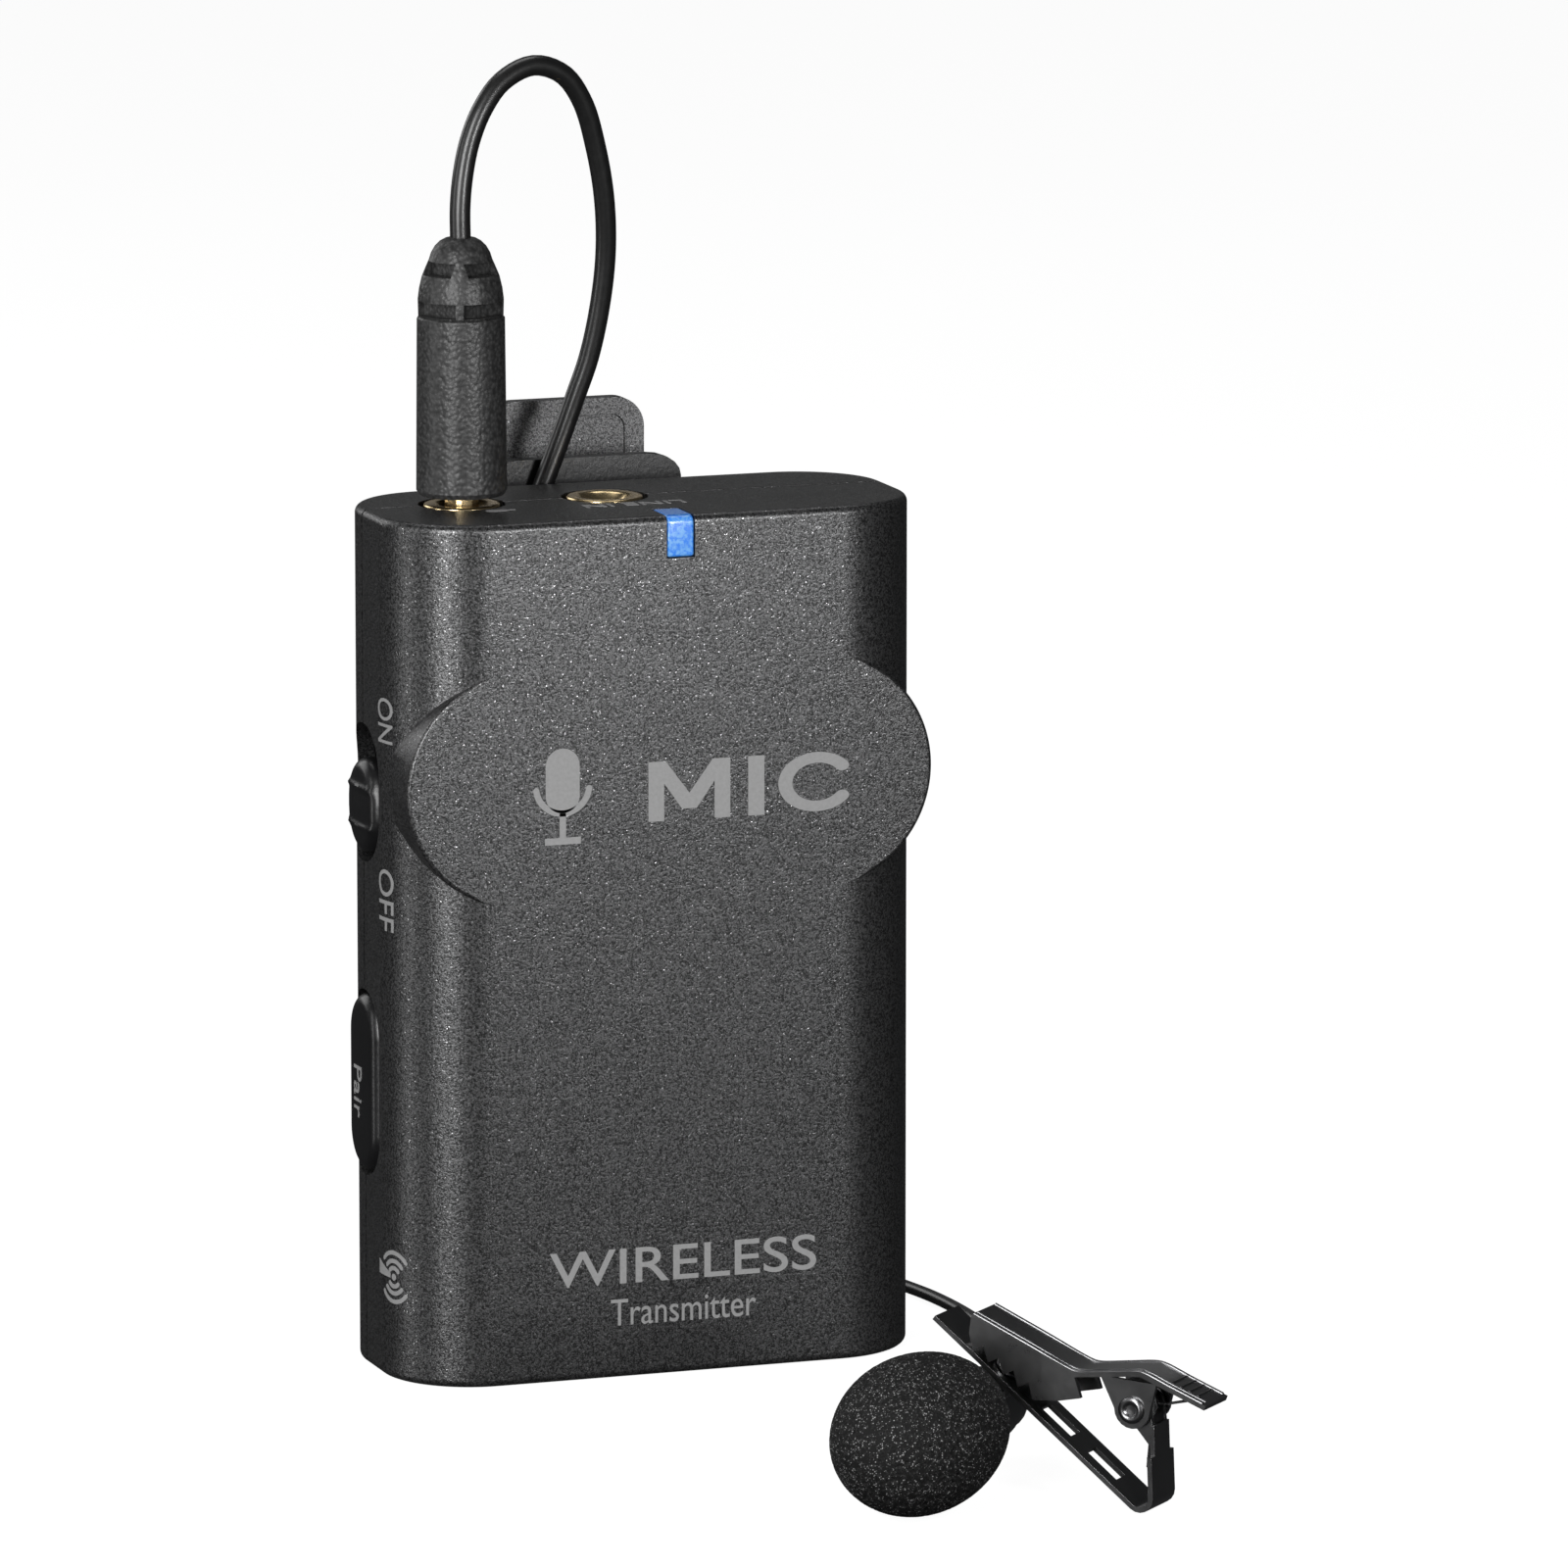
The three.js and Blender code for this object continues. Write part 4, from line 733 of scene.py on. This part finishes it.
def printed(name, points, mesh, place, body="root", strips=()):
    """Puts a piece of print in its place: place maps (right, up, out) arrays to millimetres. A print that is
    bent round a corner is first cut into strips, so that its faces can follow the bend."""
    write_points(mesh, points)
    b = bmesh.new()
    b.from_mesh(mesh)
    bmesh.ops.remove_doubles(b, verts=b.verts, dist=1e-4)
    for level in strips:
        bmesh.ops.bisect_plane(b, geom=b.verts[:] + b.edges[:] + b.faces[:], dist=1e-5, plane_co=(0, level, 0),
                               plane_no=(0, 1, 0))
    bmesh.ops.triangulate(b, faces=[f for f in b.faces if len(f.verts) > 4])
    b.to_mesh(mesh)
    b.free()
    write_points(mesh, place(read_points(mesh)) * MM)
    recalculate(mesh)
    made = add_object(mesh, name)
    return settle(made, "ink", "keys" if body != "root" else "case", body, angle=30)


def flat_shape(outlines):
    """Flat outlines (right, up) as a thin solid, in the same form that lettering() gives."""
    points, faces, first = [], [], 0
    for outline in outlines:
        outline = np.asarray(outline, float)
        n = len(outline)
        for h in (-0.5, 0.5):
            points.append(np.column_stack([outline, np.full(n, h * PRINT["thick"])]))
        i = np.arange(n)
        faces += (np.stack([i, (i + 1) % n, (i + 1) % n + n, i + n], -1) + first).tolist()
        faces += [(first + i[::-1]).tolist(), (first + i + n).tolist()]
        first += 2 * n
    mesh = bpy.data.meshes.new("shape")
    points = np.vstack(points)
    mesh.from_pydata(points.tolist(), [], faces)
    return points, mesh


def arc_band(centre, inner, outer, start, stop, steps=18):
    """Outline of a stroke with round ends along an arc, angles from the right in degrees."""
    turn = np.radians(np.linspace(start, stop, steps))
    mid, half = (inner + outer) / 2, (outer - inner) / 2
    cap = np.linspace(0, math.pi, 8)[1:-1]

    def ring(radius, t):
        return np.stack([radius * np.cos(t), radius * np.sin(t)], -1)

    ends = []
    for t, away in ((turn[-1], 1), (turn[0], -1)):
        out, ahead = np.array([math.cos(t), math.sin(t)]), np.array([-math.sin(t), math.cos(t)]) * away
        ends.append(out * mid + half * (np.cos(cap)[:, None] * out * away + np.sin(cap)[:, None] * ahead))
    return np.vstack([ring(outer, turn), ends[0], ring(inner, turn[::-1]), ends[1]]) + centre


def on_front(x, z):
    return lambda p: np.stack([p[:, 0] + x, PACK["front"] - PRINT["proud"] - p[:, 2], p[:, 1] + z], -1)


def round_corner(along, z):
    """Round the pack's left front corner: the print's up runs from the side towards the front. The corner's
    angle is the distance round it over its radius, and the print reads downwards."""
    r = PACK["front_corner"]
    cx, cy = -PACK["half"] + r, PACK["front"] + r

    def place(p):
        arc = along + p[:, 1]
        turn = np.clip(arc / r, 0, math.pi / 2)
        flat = np.minimum(arc, 0)
        out = r + PRINT["proud"] + p[:, 2]
        return np.stack([cx - out * np.cos(turn), cy - out * np.sin(turn) - flat, z - p[:, 0]], -1)

    return place


def upright(shape):
    """The same shape for a print that reads downwards: its right becomes its up."""
    points, mesh = shape
    return points[:, [1, 0, 2]] * [-1, 1, 1], mesh


class MIC_OT_print(Operator):
    """Print the lettering and the symbols on the pack's front, corner, top and pairing key"""

    bl_idname = "mic.print"
    bl_label = "Print"

    def execute(self, context):
        high = 3.05
        left = [[0, -high], [1.5, -high], [1.5, 0.8], [3.2, -1.9]]
        top = [[6.15, high], [3.9, -0.3], [1.65, high], [0, high]]
        m = left + [[7.8 - x, y] for x, y in left[::-1]] + [[7.8, high]] + top
        c_letter = arc_band((0, 0), 1.95, 3.05, 38, 322, 40) * [1.22, 1] + [16.1, 0]
        word = [np.array(m), box_outline(9.5, 11.05, -high, high), c_letter]
        printed("badge_word", *flat_shape([(w - [9.75, 0]) * [1.12, 1] for w in word]), on_front(8.4, 60.2))
        printed("front_word", *lettering("WIRELESS", 3.7, 28.6, 0.004), on_front(1.15, 11.6))
        printed("front_kind", *lettering("Transmitter", 2.75, 15.6, 0.002), on_front(1.15, 6.8))
        glyph = [stadium(6.6, 3.6, (0, 1.6), 18), arc_band((0, 1.1), 2.5, 3.15, 188, 352),
                 box_outline(-0.34, 0.34, -4.2, -1.7), box_outline(-1.9, 1.9, -4.9, -4.2)]
        printed("badge_symbol", *flat_shape(glyph), on_front(-11.6, 60.3))
        strips = np.linspace(-2.4, 2.4, 13)
        printed("on_word", *lettering("ON", 3.1, 4.6, 0.004), round_corner(1.7, 67.7), strips=strips)
        printed("off_word", *lettering("OFF", 3.1, 6.3, 0.004), round_corner(1.7, 49.35), strips=strips)
        waves = [arc_band((0, 0), r, r + 0.45, mid - 48, mid + 48) for r in (0.72, 1.45, 2.3) for mid in (90, 270)]
        dot = round_outline(0.36, (0, 0), 20)
        horn = np.array([[-3.3, 1.4], [-0.6, 0.35], [-0.6, -0.15], [-3.3, -0.1]])
        printed("pairing_symbol", *upright(flat_shape([*waves, dot, horn])), round_corner(2.9, 10.7),
                strips=np.linspace(-3, 3, 15))
        key = -(PACK["half"] + 0.62)
        printed("pair_word", *lettering("Pair", 2.5, 5.4),
                lambda p: np.stack([key - p[:, 2], 2.75 - p[:, 1], 28.3 - p[:, 0]], -1), "pair_key")
        top = PACK["top"] + PRINT["proud"] + 0.01
        printed("line_in_word", *lettering("LINE IN", 1.8, 10.6, 0.004),
                lambda p: np.stack([-1.0 - p[:, 0], -3.6 - p[:, 1], top + p[:, 2]], -1))
        printed("socket_symbol", *flat_shape([stadium(2.4, 1.2, (0, 0)), box_outline(-0.15, 0.15, -1.9, -1.1)]),
                lambda p: np.stack([-15.4 - p[:, 1], -3.2 - p[:, 0], top + p[:, 2]], -1))
        return {"FINISHED"}


class MIC_OT_keys(Operator):
    """Build the power switch's knob and the pairing key on the pack's left side"""

    bl_idname = "mic.keys"
    bl_label = "Keys"

    def execute(self, context):
        z = SWITCH["knob_z"]
        key_cap("power_knob", SWITCH["knob"], SWITCH["knob_width"], z, "power_switch", "power_switch_knob",
                (z - 2, z, z + 2))
        key_cap("pair_key_cap", PAIR["length"], PAIR["width"], PAIR["z"], "pair_key", "pair_button")
        return {"FINISHED"}


class MIC_OT_sockets(Operator):
    """Build the plated rings of both jacks"""

    bl_idname = "mic.sockets"
    bl_label = "Jack Rings"

    def execute(self, context):
        top, ring, bore = PACK["top"] + 0.1, JACK["ring"], JACK["bore"]
        for which in ("mic", "line"):
            profile = rounded_profile([[bore, 86], [ring, 86], [ring, top], [bore + 0.9, top], [bore, top - 0.8],
                                       [bore, 86.2]], 0.3)
            rings = lathe(profile) + [JACK[which], PACK["seam"], 0]
            made = new_piece(which + "_ring", *stack_of_closed(rings))
            settle(made, "gold", "gold", "root", which + "_jack_ring", flat_faces=True, angle=40)
        return {"FINISHED"}


def stack_of_closed(rings):
    """Closed skin over rings whose last joins the first, as on a washer."""
    rows, columns = rings.shape[:2]
    joined = lattice(rows + 1, columns)
    return rings.reshape(-1, 3), (np.array(joined) % (rows * columns)).tolist()


class MIC_OT_plug(Operator):
    """Build the plug's pebbled barrel and its tapered strain relief with two rows of windows"""

    bl_idname = "mic.plug"
    bl_label = "Plug"

    def execute(self, context):
        x, y = JACK["mic"], PACK["seam"]
        finished_copy("plug_barrel", "sleeve", "lead", 0.25, segments=3)
        profile = [[0.9, 101], [1.9, 101], [1.9, 107.3], [1.9, 107.45], [4.3, 107.45], [4.34, 109.1], [4.2, 110.2],
                   [3.92, 111.4], [3.55, 112.3], [3.2, 113.1], [2.98, 113.8], [2.6, 114.45], [2.1, 114.95],
                   [1.55, 115.25], [0.9, 115.3]]
        relief = wrap("strain_relief", lathe(profile, 96) + [x, y, 0])
        cutters = []
        for low, high, reach in ((107.5, 109.0, 2.75), (111.6, 113.0, 2.0)):
            for quarter in range(4):
                turn = Matrix.Rotation(math.radians(45 + 90 * quarter) - VIEW_TURN, 4, "Z")
                block = np.array([[u, v, z] for z in (low, high) for u, v in box_outline(reach, 6, -reach, reach)])
                block = block @ np.array(turn.to_3x3()).T + [x, y, 0]
                cutters.append(wrap("window", block.reshape(2, 4, 3)))
        carve(relief, cutters)
        break_edges(relief, 0.14, 2, 40)
        settle(relief, "sleeve", "lead", "root", "plug_boot", flat_faces=True, angle=40)
        return {"FINISHED"}


class MIC_OT_belt_clip(Operator):
    """Finish the belt clip: its bracket, lever, pin, spring and screws"""

    bl_idname = "mic.belt_clip"
    bl_label = "Belt Clip"

    def execute(self, context):
        finished_copy("belt_clip_bracket", "bracket", "keys", 0.25)
        finished_copy("belt_clip_lever", "lever", "clip_plate", 0.3, segments=3)
        for node in ("belt_clip_pin", "belt_clip_spring", "bracket_screw_1", "bracket_screw_2"):
            finished_copy(node, "steel", "steel", 0.0)
        return {"FINISHED"}


def mic_place(points):
    """Points of the microphone group (along the clip, across it, up) in the shared frame, in millimetres."""
    c, s = math.cos(MIC["turn"]), math.sin(MIC["turn"])
    points = np.asarray(points, float)
    return np.stack([MIC["origin"][0] + c * points[..., 0] - s * points[..., 1],
                     MIC["origin"][1] + s * points[..., 0] + c * points[..., 1], points[..., 2]], -1)


def foam_profile(spacing):
    """Radius and place along the axis of the foam's outside: two quarter ellipses that meet at its fullest part,
    radius x sin(angle) and fullest + reach x cos(angle), taken at an even spacing."""
    start = math.asin(FOAM["neck"] / FOAM["radius"])
    rear = np.linspace(start, math.pi / 2, 200)[:-1]
    nose = np.linspace(math.pi / 2, 0.01, 300)
    reach = (FOAM["back"] - FOAM["fullest"]) / math.cos(start)
    radius = FOAM["radius"] * np.sin(np.concatenate([rear, nose]))
    along = FOAM["fullest"] + np.concatenate([reach * np.cos(rear),
                                              (FOAM["front"] + 0.1 - FOAM["fullest"]) * np.cos(nose)])
    run = np.concatenate([[0], np.cumsum(np.hypot(np.diff(radius), np.diff(along)))])
    even = np.linspace(0, run[-1], int(run[-1] / spacing))
    return np.interp(even, run, radius), np.interp(even, run, along)


def open_pores(points, outward, pore, depth):
    """Pushes points in where they lie in a pore. The pores are the cells round random seeds: with d1 and d2 the
    distances to the two nearest seeds, a point sinks by depth x smoothstep((d2 - d1) / pore)."""
    random = np.random.default_rng(7)
    seeds = points[random.permutation(len(points))]
    count = int(len(points) * FOAM["spacing"]**2 / (0.8 * pore**2))
    seeds = seeds[:count] + random.normal(0, 0.05, (count, 3))
    tree = kdtree.KDTree(len(seeds))
    for i, seed in enumerate(seeds):
        tree.insert(seed, i)
    tree.balance()
    near = np.array([[hit[2] for hit in tree.find_n(point, 2)] for point in points])
    share = np.clip((near[:, 1] - near[:, 0]) / pore, 0, 1)
    return points - outward * (depth * share**2 * (3 - 2 * share))[:, None]


class MIC_OT_foam(Operator):
    """Build the foam windscreen with its open pores and its bore"""

    bl_idname = "mic.foam"
    bl_label = "Foam Windscreen"

    def execute(self, context):
        radius, along = foam_profile(FOAM["spacing"])
        count = FOAM["sides"]
        c, s = circle(count)
        slope = np.stack([-np.gradient(along), np.gradient(radius)])
        slope /= np.linalg.norm(slope, axis=0)

        def turned(r, y):
            return np.stack([r[:, None] * c, np.repeat(y[:, None], count, 1), r[:, None] * s], -1)

        centre = [FOAM["axis"][0], 0, FOAM["axis"][1]]
        skin = open_pores((turned(radius, along) + centre).reshape(-1, 3), turned(*slope).reshape(-1, 3),
                          FOAM["pore"], FOAM["depth"])
        bore, end = FOAM["bore"], FOAM["bore_end"]
        inner = turned(np.array([0.2, bore, bore]), np.array([end, end, FOAM["back"]])) + centre
        rings = np.vstack([inner, skin.reshape(len(radius), count, 3)])
        made = wrap("foam_windscreen_finish", mic_place(rings))
        settle(made, "foam", "foam", "foam", "foam_windscreen", angle=60)
        return {"FINISHED"}


class MIC_OT_tie_clip(Operator):
    """Finish the tie clip: strap, jaw, pin and spring"""

    bl_idname = "mic.tie_clip"
    bl_label = "Tie Clip"

    def execute(self, context):
        finished_copy("clip_lower_strap", "black_metal", "black_metal", 0.12)
        finished_copy("clip_upper_jaw", "black_metal", "black_metal", 0.2, segments=3)
        profile = [[0.05, -0.16], [0.5, -0.2], [0.62, -0.36], [0.8, -0.5], [1.1, -0.5], [1.3, -0.34], [1.35, -0.05],
                   [1.35, 0], [0.8, 0], [0.8, 5], [1.35, 5], [1.35, 5.3], [1.1, 5.5], [0.05, 5.5]]
        turned = lathe(profile, 48)
        rivet = mic_place(turned[..., [0, 2, 1]] + [HINGE["along"], 0, HINGE["up"]])
        rivet = wrap("eyelet", rivet)
        settle(rivet, "steel_dark", "black_metal", "clip_strap", "clip_hinge_pin", flat_faces=True, angle=40)
        line = np.array([[-18.0, 17.3], [-12.6, 15.05], [-7.4, 12.87], [-6.6, 12.75], [-3.4, 13.11], [-0.4, 13.45],
                         [0.4, 13.35], [3.4, 12.2], [6.6, 11.0]]) + [0.05, 0.5]
        runs = [(np.stack([line[:, 0], np.full(len(line), across), line[:, 1]], -1), thick)
                for across, thick in ((0.2, 0.2), (0.95, 0.15), (4.8, 0.2))]
        for along in (2.9, 3.8, 4.7, 5.6):
            height = np.interp(along, line[:, 0], line[:, 1]) - 0.03
            runs.append((np.array([[along, w, height] for w in (1.3, 2.1, 2.9, 3.7, 4.5)]), 0.17))
        for number, (run, thick) in enumerate(runs):
            rings = tube_along(mic_place(smooth_through(run, 0.35)), thick, 14)
            roll = wrap(f"pressed_ridge_{number}", rings)
            settle(roll, "steel_dark", "black_metal", "clip_jaw", angle=50)
        finished_copy("clip_spring", "steel", "steel", 0.0)
        return {"FINISHED"}


class MIC_OT_microphone(Operator):
    """Finish the microphone: capsule, grille, clasp, rivet and cable boot"""

    bl_idname = "mic.microphone"
    bl_label = "Microphone"

    def execute(self, context):
        for node in ("mic_clasp", "clasp_rivet", "mic_capsule_body"):
            finished_copy(node, "black_metal", "black_metal", 0.1)
        finished_copy("mic_grille", "steel", "steel", 0.1)
        finished_copy("mic_cable_boot", "sleeve", "lead", 0.15)
        return {"FINISHED"}


INSIDE = {
    "steel": ("power_switch_body", "pair_switch_body", "radio_shield", "battery_spring_1", "battery_spring_2"),
    "inner_plastic": ("mic_jack_body", "line_jack_body", "battery_tray"),
    "board": ("circuit_board",),
    "battery": ("battery_1", "battery_2"),
    "gold": ("antenna", "plug_contact", "mic_element"),
    "tie": ("coil_tie",),
}


class MIC_OT_inside(Operator):
    """Give what is inside the pack and the plug its finishes"""

    bl_idname = "mic.inside"
    bl_label = "Inside"

    def execute(self, context):
        for finish, nodes in INSIDE.items():
            for node in nodes:
                mesh = frame["nodes"][node].data
                mesh.materials.clear()
                mesh.materials.append(FINISH[finish].material)
        return {"FINISHED"}


# --- the stage
TARGET = Vector((0, -12.3, 44.5)) * MM
TARGET_OFFSET = (11.276 * MM, 16.1227 * MM)  # how far the view's middle lies right of the target and above it


def view_axes():
    a, e = VIEW_TURN, VIEW_RISE
    ahead = Vector((math.sin(a) * math.cos(e), math.cos(a) * math.cos(e), -math.sin(e)))
    right = Vector((math.cos(a), -math.sin(a), 0))
    up = Vector((math.sin(a) * math.sin(e), math.cos(a) * math.sin(e), math.cos(e)))
    return ahead, right, up


def add_light(name, place, aim, size, energy):
    """A rectangular lamp, its place, aim and size in metres and its energy in watts."""
    lamp = bpy.data.lights.new(name, "AREA")
    lamp.shape, lamp.size, lamp.size_y, lamp.energy = "RECTANGLE", size[0], size[1], energy
    made = add_object(lamp, name)
    made.location = place
    made.rotation_euler = (Vector(aim) - Vector(place)).to_track_quat("-Z", "Y").to_euler()


def around(azimuth, elevation, distance):
    """A place in metres from the pack's middle: degrees from its front towards its right, degrees up, distance."""
    a, e = math.radians(azimuth), math.radians(elevation)
    return (distance * math.sin(a) * math.cos(e), -distance * math.cos(a) * math.cos(e),
            0.05 + distance * math.sin(e))


class MIC_OT_stage(Operator):
    """Set up the camera, the pale floor and the soft studio lights"""

    bl_idname = "mic.stage"
    bl_label = "Stage"

    def execute(self, context):
        sizes = context.scene.mic_stage
        ahead, right, up = view_axes()
        camera = add_object(bpy.data.cameras.new("camera"), "camera")
        camera.data.lens, camera.data.sensor_width = sizes.lens, 36
        camera.data.clip_end = 50
        camera.matrix_world = Matrix((right, up, -ahead)).transposed().to_4x4()
        camera.location = (TARGET - ahead * sizes.distance + right * TARGET_OFFSET[0] + up * TARGET_OFFSET[1])
        context.scene.camera = camera
        floor = new_mesh("floor", [[-6000, -6000, -0.1], [6000, -6000, -0.1], [6000, 6000, -0.1],
                                   [-6000, 6000, -0.1]], [[0, 1, 2, 3]], outward=False)
        floor.materials.append(pale_floor("pale_floor").material)
        ground = add_object(floor, "floor")
        ground.visible_diffuse = ground.visible_glossy = ground.visible_shadow = False
        middle = (0, 0, 0.045)
        for name, place, size, watts in (
            ("left_box", around(-44, 18, 0.7), (0.22, 0.6), 4.8),
            ("far_left_strip", around(-96, 8, 0.8), (0.08, 0.8), 1.2),
            ("front_box", around(13, 13, 0.45), (0.07, 0.2), 1.0),
            ("overhead", (0.05, 0.3, 0.75), (0.5, 0.3), 0.9),
            ("rear_fill", around(208, 22, 0.9), (0.5, 0.5), 1.3),
            ("back_strip", around(160, 15, 0.9), (0.5, 0.22), 0.05),
        ):
            add_light(name, place, middle, size, watts)
        world = bpy.data.worlds.new("soft_studio")
        world.use_nodes = True
        background = world.node_tree.nodes["Background"].inputs
        background["Color"].default_value, background["Strength"].default_value = (0.9, 0.92, 0.95, 1), 0.03
        context.scene.world = world
        context.scene.view_settings.view_transform = "Standard"
        return {"FINISHED"}


class MIC_PT_panel(Panel):
    bl_idname = "MIC_PT_panel"
    bl_label = "Wireless Microphone"
    bl_space_type = "VIEW_3D"
    bl_region_type = "UI"
    bl_category = "Microphone"

    def draw(self, context):
        for group in (context.scene.mic_lead, context.scene.mic_finish, context.scene.mic_stage):
            for name in group.bl_rna.properties.keys():
                if name not in ("name", "rna_type"):
                    self.layout.prop(group, name)
        for operator in OPERATORS:
            self.layout.operator(operator.bl_idname)


FINISH = {}
OPERATORS = (MIC_OT_stage, MIC_OT_lead, MIC_OT_case, MIC_OT_print, MIC_OT_keys, MIC_OT_sockets, MIC_OT_plug,
             MIC_OT_belt_clip, MIC_OT_foam, MIC_OT_tie_clip, MIC_OT_microphone, MIC_OT_inside)
GROUPS = {"mic_lead": LeadSettings, "mic_finish": FinishSettings, "mic_stage": StageSettings}


def make_finishes(settings):
    """Every finish, by the name of the record's slot or of the piece that wears it."""
    FINISH.update(
        case=painted("graphite_paint", settings.paint),
        keys=moulded("black_key_plastic", (0.006, 0.006, 0.0065), 0.34, coat=0.15),
        bracket=moulded("bracket_plastic", (0.014, 0.014, 0.0145), 0.42, depth=0.00007),
        lever=painted("speckled_lever", (0.15, 0.15, 0.152), 0.55, 0.02),
        gold=metal("gold_plate", (0.95, 0.74, 0.42), 0.24),
        steel=metal("nickel_steel", (0.6, 0.6, 0.6), 0.25, (1, 1, 8)),
        inner_plastic=moulded("inner_plastic", (0.02, 0.02, 0.02), 0.5),
        board=circuit("circuit_board_mask"),
        battery=metal("cell_sleeve", (0.35, 0.36, 0.38), 0.35, (1, 1, 0.2)),
        light=lit_window("blue_light_pipe", settings.glow),
        sleeve=leathery("pebbled_sleeve", (0.03, 0.03, 0.03), 0.42),
        lead=sleeved("lead_sleeve", (0.006, 0.006, 0.006)),
        tie=woven("hook_and_loop", (0.015, 0.015, 0.016)),
        black_metal=black_nickel("black_nickel"),
        steel_dark=metal("bright_black_nickel", (0.22, 0.22, 0.225), 0.3),
        foam=open_cell_foam("open_cell_foam"),
        ink=ink("pale_ink", settings.print_ink),
    )


def register():
    for group in [*GROUPS.values(), *OPERATORS, MIC_PT_panel]:
        bpy.utils.register_class(group)
    for name, group in GROUPS.items():
        setattr(bpy.types.Scene, name, PointerProperty(type=group))


def unregister():
    for name in GROUPS:
        delattr(bpy.types.Scene, name)
    for group in reversed([*GROUPS.values(), *OPERATORS, MIC_PT_panel]):
        bpy.utils.unregister_class(group)


def main():
    register()
    make_finishes(bpy.context.scene.mic_finish)
    for operator in OPERATORS:
        getattr(bpy.ops.mic, operator.bl_idname.split(".")[1])()


if __name__ == "__main__":
    main()
